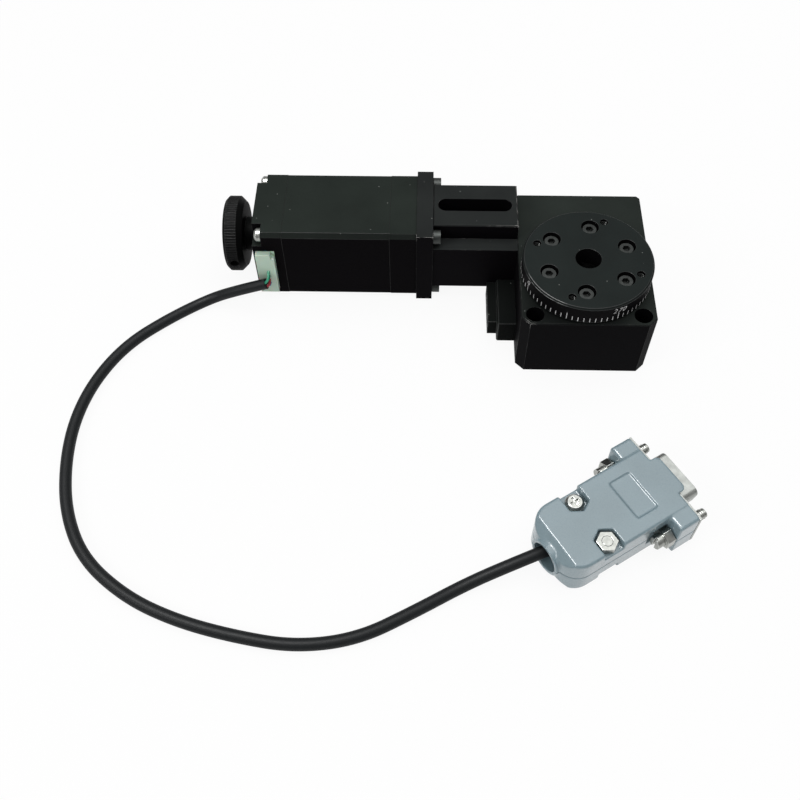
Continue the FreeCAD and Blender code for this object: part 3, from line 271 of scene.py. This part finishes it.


# The last argument is a point with the distances within which a painted shadow is full and beyond
# which it is gone; the painted shadow takes away part of the upward faces' lighter tone
def black_anodised(name, side_tone, dust_and_sheen_tone, roughness=0.55, specks=0.5, shine=0.02,
                   ledge_shadow_at=None):
    look, tree, shader, place = new_look(name)
    # Upward faces are painted lighter: partly a thin film of dust, partly painted sheen from the
    # light above
    facing = tree.nodes.new("ShaderNodeSeparateXYZ")
    tree.links.new(place["Normal"], facing.inputs[0])
    upward = ranged(tree, facing.outputs["Z"], *FACING_UP)
    patchy = ranged(tree, noise(tree, place, DUST_AND_SHEEN_CLOUD, 6), *DUST_AND_SHEEN_PATCHES)
    dust_and_sheen = reckoned(tree, "MULTIPLY", upward, patchy)
    # Painted shadow of the table's rim: the upward faces' lighter tone fades near the given point
    if ledge_shadow_at:
        point, shadow_full_within, shadow_gone_at = ledge_shadow_at
        gap = distance_to(tree, place, point)
        ledge_shadow = ranged(tree, gap, shadow_full_within, shadow_gone_at, LEDGE_SHADOW_LEVEL, 1.0)
        dust_and_sheen = reckoned(tree, "MULTIPLY", dust_and_sheen, ledge_shadow)
    dusted_and_sheened = mixed(tree, dust_and_sheen, (*side_tone, 1), (*dust_and_sheen_tone, 1), held=False)
    speck = tree.nodes.new("ShaderNodeTexVoronoi")
    speck.inputs["Scale"].default_value = SPECK_SCALE
    tree.links.new(place["Object"], speck.inputs["Vector"])
    speck_tone = tree.nodes.new("ShaderNodeSeparateColor")
    tree.links.new(speck.outputs["Color"], speck_tone.inputs["Color"])
    near = reckoned(tree, "LESS_THAN", speck.outputs["Distance"], SPECK_REACH)
    rare = reckoned(tree, "GREATER_THAN", speck_tone.outputs["Red"], 1.0 - SPECK_SHARE * specks)
    spot = reckoned(tree, "MULTIPLY", reckoned(tree, "MULTIPLY", near, rare), upward)
    tree.links.new(mixed(tree, spot, dusted_and_sheened, SPECK_TONE), shader.inputs["Base Color"])
    grain = noise(tree, place, BLASTED_GRAIN, 3)
    rough = ranged(tree, grain, 0.0, 1.0, roughness - 0.08, roughness + 0.1)
    tree.links.new(rough, shader.inputs["Roughness"])
    bumped(tree, shader, grain, BLASTED_STRENGTH, BLASTED_DEPTH)
    shader.inputs["Specular IOR Level"].default_value = shine
    return look


# The narrow faces of broken edges: nearly as dark as the rest, worn bare in small random patches,
# and painted bright near given places as a painted highlight
def rubbed_edge(name, edge_tone, highlight_places=(), reach=0.004, bare_and_highlight_tone=(0.34, 0.33, 0.32)):
    look, tree, shader, place = new_look(name)
    share = ranged(tree, noise(tree, place, WEAR_SCALE), *WEAR_PATCHES)
    # Near each given place the edge is painted bright: a painted highlight
    for highlight_place in highlight_places:
        gap = distance_to(tree, place, highlight_place)
        highlight = ranged(tree, gap, reach * HIGHLIGHT_CORE, reach, 1.0, 0.0)
        share = reckoned(tree, "MAXIMUM", share, highlight)
    chips = noise(tree, place, CHIP_SCALE, 5)
    worn_and_highlight = reckoned(tree, "MULTIPLY", share, ranged(tree, chips, *CHIPPED))
    tree.links.new(mixed(tree, worn_and_highlight, (*edge_tone, 1), (*bare_and_highlight_tone, 1)), shader.inputs["Base Color"])
    tree.links.new(ranged(tree, chips, 0.0, 1.0, *EDGE_ROUGHNESS), shader.inputs["Roughness"])
    shader.inputs["Specular IOR Level"].default_value = EDGE_SHINE
    return look


# A new piece with its own copy of a mesh
def own_copy(name, mesh):
    piece = bpy.data.objects.new(name, mesh.copy())
    scene.collection.objects.link(piece)
    return piece


def select_only(piece):
    bpy.ops.object.select_all(action="DESELECT")
    piece.select_set(True)
    bpy.context.view_layer.objects.active = piece


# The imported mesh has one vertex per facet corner: they are merged, and its own normals go
def merge_facets(piece, flatten=False):
    select_only(piece)
    bpy.ops.object.mode_set(mode="EDIT")
    bpy.ops.mesh.select_all(action="SELECT")
    bpy.ops.mesh.remove_doubles(threshold=MERGE_GAP)
    if flatten:
        bpy.ops.mesh.dissolve_limited(angle_limit=FLAT_ANGLE)
    bpy.ops.object.mode_set(mode="OBJECT")
    bpy.ops.mesh.customdata_custom_splitnormals_clear()


# A copy of a CAD node with its facets merged and its sharp edges broken by a small rounding
def edge_broken(node, face_look, edge_look, width=EDGE_BREAK, clamp=True):
    piece = own_copy(node + "_finished", nodes[node].data)
    merge_facets(piece, flatten=True)
    bpy.ops.object.shade_smooth_by_angle(angle=SMOOTH_ANGLE)
    piece.data.materials.clear()
    piece.data.materials.append(face_look)
    piece.data.materials.append(edge_look)
    for face in piece.data.polygons:
        face.material_index = 0
    rounding = piece.modifiers.new("edge_break", "BEVEL")
    rounding.width = width
    rounding.segments = 2
    rounding.limit_method = "ANGLE"
    rounding.angle_limit = SHARP_ANGLE
    rounding.harden_normals = True
    rounding.material = 1
    rounding.use_clamp_overlap = clamp
    bpy.ops.object.modifier_apply(modifier=rounding.name)
    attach(piece, nodes[node]["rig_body"])
    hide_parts(node)
    return piece


def dress(node, look):
    nodes[node].data.materials.clear()
    nodes[node].data.materials.append(look)


base_black = black_anodised("blasted_black", (0.0030, 0.0028, 0.0034), (0.0235, 0.0285, 0.0255),
                            ledge_shadow_at=FRONT_LEDGE_SHADOW)
base_edge = rubbed_edge("base_edges", (0.013, 0.014, 0.014), [BASE_CORNER_HIGHLIGHT], reach=0.0025,
                        bare_and_highlight_tone=(0.55, 0.54, 0.52))
edge_broken("base_body", base_black, base_edge)

# Bearings, hub, wheel and worm inside the base
# Ground bearing rings, a hub painted near black as the shade seen in the bore, a turned steel worm
# and a bronze wheel, all lightly oiled. They are pressed, clamped or screwed in from below and show
# only in the bore and gaps.
METAL_MARKS = 900
LAMINATION_MARKS = 2500
MARK_SHADE = 0.72
MARK_FROM = 0.3
MARK_TO = 0.66
MARK_ROUGHER = 0.1


# A colour that runs between two tones as a value runs between two places
def ramped(tree, value, low, low_tone, high, high_tone):
    ramp = tree.nodes.new("ShaderNodeValToRGB")
    ramp.color_ramp.elements[0].position = low
    ramp.color_ramp.elements[0].color = (*low_tone, 1)
    ramp.color_ramp.elements[1].position = high
    ramp.color_ramp.elements[1].color = (*high_tone, 1)
    tree.links.new(value, ramp.inputs["Fac"])
    return ramp.outputs["Color"]


def bare_metal(name, tone, roughness, mark_scale=METAL_MARKS):
    look, tree, shader, place = new_look(name)
    shader.inputs["Metallic"].default_value = 1.0
    mark = noise(tree, place, mark_scale, 4)
    shaded_tone = [part * MARK_SHADE for part in tone]
    shade = ramped(tree, mark, MARK_FROM, shaded_tone, MARK_TO, tone)
    tree.links.new(shade, shader.inputs["Base Color"])
    rough = ranged(tree, mark, 0.0, 1.0, roughness, roughness + MARK_ROUGHER)
    tree.links.new(rough, shader.inputs["Roughness"])
    return look


ring_steel = bare_metal("ground_ring_steel", (0.52, 0.52, 0.51), 0.2)
for ring_name in ("table_bearing_outer_ring", "table_bearing_inner_ring", "motor_bearings",
                  "worm_bearing_outer_rings", "worm_bearing_inner_rings"):
    dress(ring_name, ring_steel)
turned_steel = bare_metal("oiled_turned_steel", (0.40, 0.40, 0.39), 0.3)
for turned_name in ("hub_lock_nut", "worm_shaft", "motor_shaft"):
    dress(turned_name, turned_steel)
# The hub's near-black tone is painted shade for the dark bore
dress("hub", bare_metal("hub_dark_as_bore_shade", (0.020, 0.021, 0.021), 0.4))
dress("motor_rotor", bare_metal("laminated_rotor_steel", (0.30, 0.30, 0.31), 0.4,
                                mark_scale=LAMINATION_MARKS))
dress("worm_wheel", bare_metal("cut_bronze", (0.60, 0.40, 0.18), 0.3))
for retainer_name in ("bearing_retainer", "worm_retainer"):
    dress(retainer_name, base_black)

# Table top
# A disc turned from aluminium and anodised with the base. Its chamfered rim carries a painted
# highlight at the front left, six screws sit in counterbores, and four tapped holes show a little
# thread.
TABLE_CHAMFER = 0.0001
RIM_LIGHT_R = 0.0197
RIM_LIGHT_Z = 0.0302
RIM_LIGHT_AT = [(RIM_LIGHT_R * math.cos(math.radians(angle)),
                 RIM_LIGHT_R * math.sin(math.radians(angle)), RIM_LIGHT_Z)
                for angle in (208, 218, 228, 238)]
TAP_COUNT = 4
TAP_CIRCLE = 0.0164
TAP_FIRST = 68.5
TAP_R = 0.00125
TAP_RIDGE = 0.00017
TAP_PITCH = 0.0005
TAP_TURNS = 6
TAP_START = 0.0267
THREAD_STEPS = 28


# A ridge of three-cornered section wound along Z, for a thread
def wound_ridge(radius, ridge_r, pitch, turns, look):
    bpy.ops.object.select_all(action="DESELECT")
    bpy.ops.mesh.primitive_circle_add(vertices=3, radius=ridge_r, location=(radius, 0, 0),
                                      rotation=(math.radians(90), math.radians(90), 0))
    ridge = bpy.context.object
    bpy.ops.object.transform_apply(location=True, rotation=True, scale=True)
    winding = ridge.modifiers.new("winding", "SCREW")
    winding.axis = "Z"
    winding.screw_offset = pitch
    winding.iterations = turns
    winding.steps = THREAD_STEPS
    winding.render_steps = THREAD_STEPS
    winding.use_merge_vertices = False
    bpy.ops.object.modifier_apply(modifier=winding.name)
    bpy.ops.object.mode_set(mode="EDIT")
    bpy.ops.mesh.select_all(action="SELECT")
    bpy.ops.mesh.fill_holes(sides=3)
    bpy.ops.mesh.normals_make_consistent(inside=False)
    bpy.ops.object.mode_set(mode="OBJECT")
    ridge.data.materials.append(look)
    return ridge


table_black = black_anodised("turned_black", (0.0038, 0.0036, 0.0040), (0.0190, 0.0235, 0.0225))
table_edge = rubbed_edge("table_edges", (0.017, 0.019, 0.0185), RIM_LIGHT_AT, reach=0.0038,
                         bare_and_highlight_tone=(0.20, 0.205, 0.20))
edge_broken("table_top", table_black, table_edge, TABLE_CHAMFER)
tap_thread = wound_ridge(TAP_R, TAP_RIDGE, TAP_PITCH, TAP_TURNS,
                         bare_metal("tapped_thread", (0.05, 0.052, 0.05), 0.2))
for tap in range(TAP_COUNT):
    angle = math.radians(TAP_FIRST + tap * 360 / TAP_COUNT)
    ridge = own_copy("table_tap_thread_" + str(tap + 1), tap_thread.data)
    ridge.data.transform(Matrix.Translation((TAP_CIRCLE * math.cos(angle),
                                             TAP_CIRCLE * math.sin(angle), TAP_START)))
    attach(ridge, "table")
bpy.data.objects.remove(tap_thread)

# Dial on the table's rim
# Laser-marked lines every five degrees in the lower half of the rim, longer every 45, with
# a number at each quarter turn. The pale marks stand a hair proud, as burnt anodising does.
DIAL_R = 0.0200
DIAL_PROUD = 0.00003
DIAL_ZERO = 203.5
DIAL_GRAIN = 2400
TICK_STEP = 5
TICK_LONG_STEP = 45
TICK_WIDTH = 0.00024
TICK_FOOT = 0.02455
TICK_SHORT = 0.0017
TICK_LONG = 0.0026
TICK_CORNER = 0.00001
NUMBER_STEP = 90
NUMBER_HEIGHT = 0.0027
NUMBER_FOOT = 0.02745
NUMBER_THINNED = 0.00002
NUMBER_SPACING = 1.12
NUMBER_SLANT = 0.25
dial_paint, tree, shader, place = new_look("laser_mark")
dial_tone = ramped(tree, noise(tree, place, DIAL_GRAIN), 0.3, (0.30, 0.30, 0.30),
                   0.55, (0.60, 0.60, 0.60))
tree.links.new(dial_tone, shader.inputs["Base Color"])
shader.inputs["Roughness"].default_value = 0.7


def dial_tick(height):
    bpy.ops.object.select_all(action="DESELECT")
    bpy.ops.mesh.primitive_cube_add(size=1.0, location=(DIAL_R, 0, TICK_FOOT + height / 2),
                                    scale=(2 * DIAL_PROUD, TICK_WIDTH, height))
    tick = bpy.context.object
    bpy.ops.object.transform_apply(location=True, rotation=True, scale=True)
    bpy.ops.object.mode_set(mode="EDIT")
    bpy.ops.mesh.select_all(action="SELECT")
    bpy.ops.mesh.bevel(offset=TICK_CORNER, segments=1)
    bpy.ops.object.mode_set(mode="OBJECT")
    return tick


# A number laid on a flat strip, cut out as a mesh and wrapped round the rim
def dial_number(value):
    bpy.ops.object.select_all(action="DESELECT")
    bpy.ops.object.text_add(location=(0, 0, 0))
    text = bpy.context.object
    text.data.body = str(value)
    text.data.size = NUMBER_HEIGHT
    text.data.shear = NUMBER_SLANT
    text.data.align_x = "CENTER"
    text.data.space_character = NUMBER_SPACING
    text.data.offset = -NUMBER_THINNED
    text.data.extrude = DIAL_PROUD
    text.data.resolution_u = 3
    bpy.ops.object.convert(target="MESH")
    middle = math.radians(DIAL_ZERO - value)
    for point in text.data.vertices:
        angle = middle + point.co.x / DIAL_R
        radius = DIAL_R + point.co.z
        point.co = (radius * math.cos(angle), radius * math.sin(angle), NUMBER_FOOT + point.co.y)
    return text


marks = []
for height, own_step, skipped_step in ((TICK_LONG, TICK_LONG_STEP, 0),
                                       (TICK_SHORT, TICK_STEP, TICK_LONG_STEP)):
    tick = dial_tick(height)
    for angle in range(0, 360, own_step):
        if skipped_step and angle % skipped_step == 0:
            continue
        mark = own_copy("tick", tick.data)
        mark.data.transform(Matrix.Rotation(math.radians(DIAL_ZERO - angle), 4, "Z"))
        marks.append(mark)
    bpy.data.objects.remove(tick)
for value in range(0, 360, NUMBER_STEP):
    marks.append(dial_number(value))
select_only(marks[0])
for mark in marks:
    mark.select_set(True)
bpy.ops.object.join()
dial = bpy.context.object
dial.name = "dial_marks"
dial.data.materials.clear()
dial.data.materials.append(dial_paint)
for face in dial.data.polygons:
    face.material_index = 0
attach(dial, "table")

# Table screws and the other dark fasteners
# Socket head screws turned from blackened steel and driven into tapped holes. Their flat faces are
# a little lighter than the anodised metal, and the rounded corners are painted darker as shade.
TABLE_SCREW_CORNER = 0.00024
dark_steel = bare_metal("blackened_steel", (0.056, 0.060, 0.058), 0.40)
# A darker copy of the blackened steel for the rounded corners: painted shade
shaded_corner = bare_metal("black_steel_shaded_edges", (0.022, 0.023, 0.023), 0.34)
edge_broken("table_screws", dark_steel, shaded_corner, TABLE_SCREW_CORNER)
edge_broken("side_block_screws", dark_steel, shaded_corner)
edge_broken("motor_screws", dark_steel, shaded_corner)
for screw_name in ("bracket_screws", "coupling_set_screws", "wheel_screws"):
    dress(screw_name, dark_steel)

# Motor bracket
# Milled from one block of aluminium: a square flange, a block and a raised rib with a long slot.
# The rib's right end and the flange's front top edge carry a painted highlight.
BRACKET_BREAK = 0.00015
# Painted highlights on the rib's right end and on the flange's front top edge
RIB_END_HIGHLIGHT = [(-0.0205, y, 0.0290) for y in (0.0150, 0.0215, 0.0262, 0.0310)]
FLANGE_EDGE_HIGHLIGHT = [(x, 0.0088, 0.0294) for x in (-0.0515, -0.0500, -0.0485)]
bracket_black = black_anodised("bracket_black", (0.0032, 0.0027, 0.0035),
                               (0.0225, 0.0250, 0.0245), specks=0.8)
bracket_edge = rubbed_edge("bracket_edges", (0.010, 0.010, 0.0105), RIB_END_HIGHLIGHT + FLANGE_EDGE_HIGHLIGHT,
                           reach=0.0024, bare_and_highlight_tone=(0.72, 0.70, 0.67))
edge_broken("motor_bracket", bracket_black, bracket_edge, BRACKET_BREAK)

# Side block
# A small foot of black anodised aluminium with a raised pad and more specks than the rest, painted
# darker than the other black parts as shade. Two socket screws hold it to the base's side.
SIDE_BLOCK_BREAK = 0.0003
# The side block's darker tones are painted shade
side_shaded_black = black_anodised("side_block_shaded_black", (0.0036, 0.0042, 0.0040),
                            (0.0072, 0.0085, 0.0080), specks=1.4)
side_edge = rubbed_edge("side_block_edges", (0.009, 0.0105, 0.010))
edge_broken("side_block", side_shaded_black, side_edge, SIDE_BLOCK_BREAK)

# Motor
# Two die-cast end caps with a stack of steel laminations between them, all sprayed satin black
# and clamped by four long screws whose bright pan heads sit in notches at the rear corners.
REAR_CAP_BREAK = 0.00018
CASE_SCREW_BREAK = 0.0001
motor_black = black_anodised("motor_black", (0.0030, 0.0025, 0.0031), (0.0225, 0.0280, 0.0245),
                             specks=1.1, shine=0.015)
motor_edge = rubbed_edge("motor_edges", (0.009, 0.010, 0.0095))
edge_broken("motor_front_cap", motor_black, motor_edge)
edge_broken("motor_rear_cap", motor_black, motor_edge, REAR_CAP_BREAK)
edge_broken("motor_stator", motor_black, motor_edge)
nickel = bare_metal("nickel_plate", (0.40, 0.41, 0.385), 0.24)
# A lighter copy of the plating for rounded edges and threads: a painted highlight
nickel_highlight = bare_metal("nickel_highlight_edges", (0.60, 0.61, 0.59), 0.16)
edge_broken("motor_case_screws", nickel, nickel_highlight, CASE_SCREW_BREAK,
            clamp=False)

# Coupling
# Two jaw halves of black anodised aluminium, each held on its shaft by a set screw, with a
# moulded star between them. They are seen as dark shapes through the bracket's slot.
coupling_black = black_anodised("coupling_black", (0.004, 0.004, 0.004), (0.008, 0.008, 0.008),
                                specks=0.0)
for half_name in ("coupling_hub_worm", "coupling_hub_motor"):
    dress(half_name, coupling_black)

# Hand knob
# Turned aluminium with a fine straight knurl, anodised a deeper black than the body. It is
# bored for the motor's shaft and held by a radial set screw.
KNURL_BREAK = 0.00004
SET_SCREW_BREAK = 0.00008
knob_black = black_anodised("knob_black", (0.0028, 0.0028, 0.0030), (0.0064, 0.0068, 0.0066),
                            roughness=0.5, specks=0.3, shine=0.03)
knob_edge = rubbed_edge("knob_edges", (0.0075, 0.0078, 0.0078))
edge_broken("hand_knob", knob_black, knob_edge, KNURL_BREAK, clamp=False)
edge_broken("knob_set_screw", dark_steel, shaded_corner, SET_SCREW_BREAK)

# Motor connector
# A cream nylon header pressed into the rear cap with the lead's plug pushed over it. Nylon of
# this kind lets some light through, so it looks soft and slightly green.
CONNECTOR_CORNER = 0.0002
HEADER_CORNER = 0.0001
MOULD_CLOUD = 70
MOULD_DARKER = 0.93
MOULD_LIGHTER = 1.05
MOULD_GRAIN = 2200
MOULD_STRENGTH = 0.1
MOULD_DEPTH = 0.00004
COAT_ROUGHNESS = 0.13
GLOW_DEPTH = 0.002


def moulded(name, tone, roughness, grain_scale=MOULD_GRAIN, sheen=0.5, glow_through=0.0,
            gloss=0.0):
    look, tree, shader, place = new_look(name)
    cloud = noise(tree, place, MOULD_CLOUD, 4)
    darker = [part * MOULD_DARKER for part in tone]
    lighter = [part * MOULD_LIGHTER for part in tone]
    tree.links.new(ramped(tree, cloud, 0.3, darker, 0.7, lighter), shader.inputs["Base Color"])
    grain = noise(tree, place, grain_scale)
    rough = ranged(tree, grain, 0.0, 1.0, roughness - 0.05, roughness + 0.08)
    tree.links.new(rough, shader.inputs["Roughness"])
    bumped(tree, shader, grain, MOULD_STRENGTH, MOULD_DEPTH)
    shader.inputs["Specular IOR Level"].default_value = sheen
    shader.inputs["Coat Weight"].default_value = gloss
    shader.inputs["Coat Roughness"].default_value = COAT_ROUGHNESS
    shader.inputs["Subsurface Weight"].default_value = glow_through
    shader.inputs["Subsurface Scale"].default_value = GLOW_DEPTH
    return look


nylon = moulded("connector_nylon", (0.47, 0.61, 0.50), 0.38, glow_through=0.25)
edge_broken("connector_plug", nylon, nylon, CONNECTOR_CORNER)
edge_broken("connector_header", nylon, nylon, HEADER_CORNER)

# Lead wires
# Four thin stranded wires with coloured insulation run from the connector into the cord: green
# on top, then black, and red and blue below. The copy of the CAD wires is parted into the four.
WIRE_TONES = (("lead_wire_green", (0.02, 0.30, 0.17)), ("lead_wire_black", (0.012, 0.012, 0.013)),
              ("lead_wire_red", (0.38, 0.02, 0.03)), ("lead_wire_blue", (0.02, 0.07, 0.30)))
WIRE_SMOOTH_ANGLE = math.radians(40)
wires = own_copy("lead_wire", nodes["lead_wires"].data)
merge_facets(wires)
bpy.ops.object.mode_set(mode="EDIT")
bpy.ops.mesh.select_all(action="SELECT")
bpy.ops.mesh.separate(type="LOOSE")
bpy.ops.object.mode_set(mode="OBJECT")
strands = sorted(bpy.context.selected_objects,
                 key=lambda strand: -max(point.co.z for point in strand.data.vertices))
for strand, (wire_name, tone) in zip(strands, WIRE_TONES):
    strand.name = wire_name
    select_only(strand)
    bpy.ops.object.shade_smooth_by_angle(angle=WIRE_SMOOTH_ANGLE)
    strand.data.materials.clear()
    strand.data.materials.append(moulded(wire_name + "_insulation", tone, 0.35))
    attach(strand, "base")
    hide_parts("lead_wires")

# Cord
# One round lead with a soft black sheath, 3.6 mm thick and about 280 mm long. It leaves the
# wires at the motor's connector, lies on the bench in one wide loop and enters the plug.
CORD_DIAMETER = 0.0036
CORD_FLOOR = 0.00185
CORD_GRAIN = 1500
CORD_ROUTE = [
    (-0.1012, 0.0050, 0.01095), (-0.1115, 0.0050, 0.0073), (-0.1215, 0.0058, CORD_FLOOR),
    (-0.1340, -0.0030, CORD_FLOOR), (-0.1455, -0.0135, CORD_FLOOR), (-0.1530, -0.0270, CORD_FLOOR),
    (-0.1566, -0.0420, CORD_FLOOR), (-0.1562, -0.0580, CORD_FLOOR), (-0.1525, -0.0745, CORD_FLOOR),
    (-0.1445, -0.0890, CORD_FLOOR), (-0.1305, -0.1000, CORD_FLOOR), (-0.1155, -0.1065, CORD_FLOOR),
    (-0.0990, -0.1106, CORD_FLOOR), (-0.0825, -0.1130, CORD_FLOOR), (-0.0660, -0.1105, CORD_FLOOR),
    (-0.0510, -0.1025, CORD_FLOOR), (-0.0365, -0.0940, CORD_FLOOR), (-0.0225, -0.0894, 0.0070),
    (-0.0100, -0.0839, 0.0073),
]
cord_line = bpy.data.curves.new("lead_cord", "CURVE")
cord_line.dimensions = "3D"
cord_line.bevel_depth = CORD_DIAMETER / 2
cord_line.bevel_resolution = 8
cord_line.resolution_u = 24
cord_line.use_fill_caps = True
line = cord_line.splines.new("NURBS")
line.points.add(len(CORD_ROUTE) - 1)
for knot, route_point in zip(line.points, CORD_ROUTE):
    knot.co = (*route_point, 1.0)
line.order_u = 3
line.use_endpoint_u = True
cord = bpy.data.objects.new("lead_cord", cord_line)
scene.collection.objects.link(cord)
cord_line.materials.append(moulded("cord_sheath", (0.0105, 0.012, 0.013), 0.45,
                                   grain_scale=CORD_GRAIN, sheen=0.16))
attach(cord, "base")
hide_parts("cord")

# Plug hood
# Two moulded halves in glossy grey-blue plastic with rounded edges, screw pockets and a shallow
# label recess, which stays bare. The screws hold them together, and the clamp grips the cord.
PLUG_TURN = math.radians(33.0)
PLUG_AT = Vector((0.0187, -0.0659, 0))
HOOD_GRAIN = 6000
HOOD_VOXEL = 0.00022
HOOD_ROUNDING = 9
HOOD_KEPT_SHARE = 0.45


# A hood half cast in one skin along the plug's own axes, so that every edge gets the small
# even radius of a moulding
def moulded_shell(node, look):
    piece = own_copy(node + "_moulded", nodes[node].data)
    merge_facets(piece)
    piece.data.transform(Matrix.Rotation(-PLUG_TURN, 4, "Z"))
    skin = piece.modifiers.new("skin", "REMESH")
    skin.mode = "VOXEL"
    skin.voxel_size = HOOD_VOXEL
    skin.use_smooth_shade = True
    rounding = piece.modifiers.new("rounding", "SMOOTH")
    rounding.factor = 0.5
    rounding.iterations = HOOD_ROUNDING
    fewer = piece.modifiers.new("fewer", "DECIMATE")
    fewer.ratio = HOOD_KEPT_SHARE
    for modifier_name in ("skin", "rounding", "fewer"):
        bpy.ops.object.modifier_apply(modifier=modifier_name)
    piece.data.transform(Matrix.Rotation(PLUG_TURN, 4, "Z"))
    bpy.ops.object.shade_smooth()
    piece.data.materials.clear()
    piece.data.materials.append(look)
    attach(piece, nodes[node]["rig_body"])
    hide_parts(node)
    return piece


hood_blue = moulded("hood_grey_blue", (0.197, 0.272, 0.304), 0.27, grain_scale=HOOD_GRAIN,
                    sheen=0.5, gloss=0.6)
hood_pieces = [moulded_shell("plug_hood_top", hood_blue),
               moulded_shell("plug_hood_bottom", hood_blue)]
dress("cord_clamp", hood_blue)

# Hood screws and nuts
# Nickel-plated steel pan heads with a cross recess, one from each side of the hood. Each draws
# the halves together in a hexagon nut that lies in the other half's pocket.
HOOD_NUT_CORNER = 0.0002
hood_fasteners = [
    # The edges of the hood screws and nuts take the lighter plating as a painted highlight
    edge_broken("plug_hood_screws", nickel, nickel_highlight, clamp=False),
    edge_broken("plug_hood_nuts", nickel, nickel_highlight, HOOD_NUT_CORNER),
]

# Plug shell and insert
# The flange and D-shaped shell are drawn from nickel-plated sheet steel, and a black insert
# holds two rows of gold-flashed contacts. The coupling's star is dressed here too, as it is
# moulded in the same way as the insert.
SHELL_CORNER = 0.00014
SHEET_MARKS = 500
shell_nickel = bare_metal("satin_nickel_sheet", (0.42, 0.435, 0.415), 0.34,
                          mark_scale=SHEET_MARKS)
# A lighter copy of the sheet for its rounded edges: a painted highlight
shell_highlight = bare_metal("sheet_highlight_edges", (0.68, 0.68, 0.66), 0.25)
shell = edge_broken("plug_shell", shell_nickel, shell_highlight, SHELL_CORNER)
dress("plug_insert", moulded("insert_black", (0.02, 0.02, 0.021), 0.45))
dress("plug_contacts", bare_metal("gold_flash", (0.8, 0.6, 0.28), 0.25))
dress("coupling_spider", moulded("spider_rubber", (0.025, 0.022, 0.022), 0.6))

# Jack screws
# Nickel-plated steel: a hexagon head with a slotted round end behind each wing, and a screw end
# with a rolled thread past the flange. Each turns freely in its wing.
JACK_T = 0.0125
JACK_Z = 0.0073
THREAD_R = 0.00141
THREAD_RIDGE = 0.00019
THREAD_PITCH = 0.00064
THREAD_TURNS = 6
THREAD_START = 0.0004
jacks = [edge_broken("jack_screw_left", nickel, nickel_highlight),
         edge_broken("jack_screw_right", nickel, nickel_highlight)]
# The thread ridges take the lighter plating: a painted highlight on the crests
thread = wound_ridge(THREAD_R, THREAD_RIDGE, THREAD_PITCH, THREAD_TURNS, nickel_highlight)
plug_place = Matrix.Translation(PLUG_AT) @ Matrix.Rotation(PLUG_TURN, 4, "Z")
along_plug = Matrix.Rotation(math.radians(90), 4, "Y")
for side_name, side in (("left", 1), ("right", -1)):
    ridge = own_copy("jack_thread_" + side_name, thread.data)
    seat = Matrix.Translation(Vector((THREAD_START, side * JACK_T, JACK_Z)))
    ridge.data.transform(plug_place @ seat @ along_plug)
    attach(ridge, "jack_" + side_name)
    jacks.append(ridge)
bpy.data.objects.remove(thread)
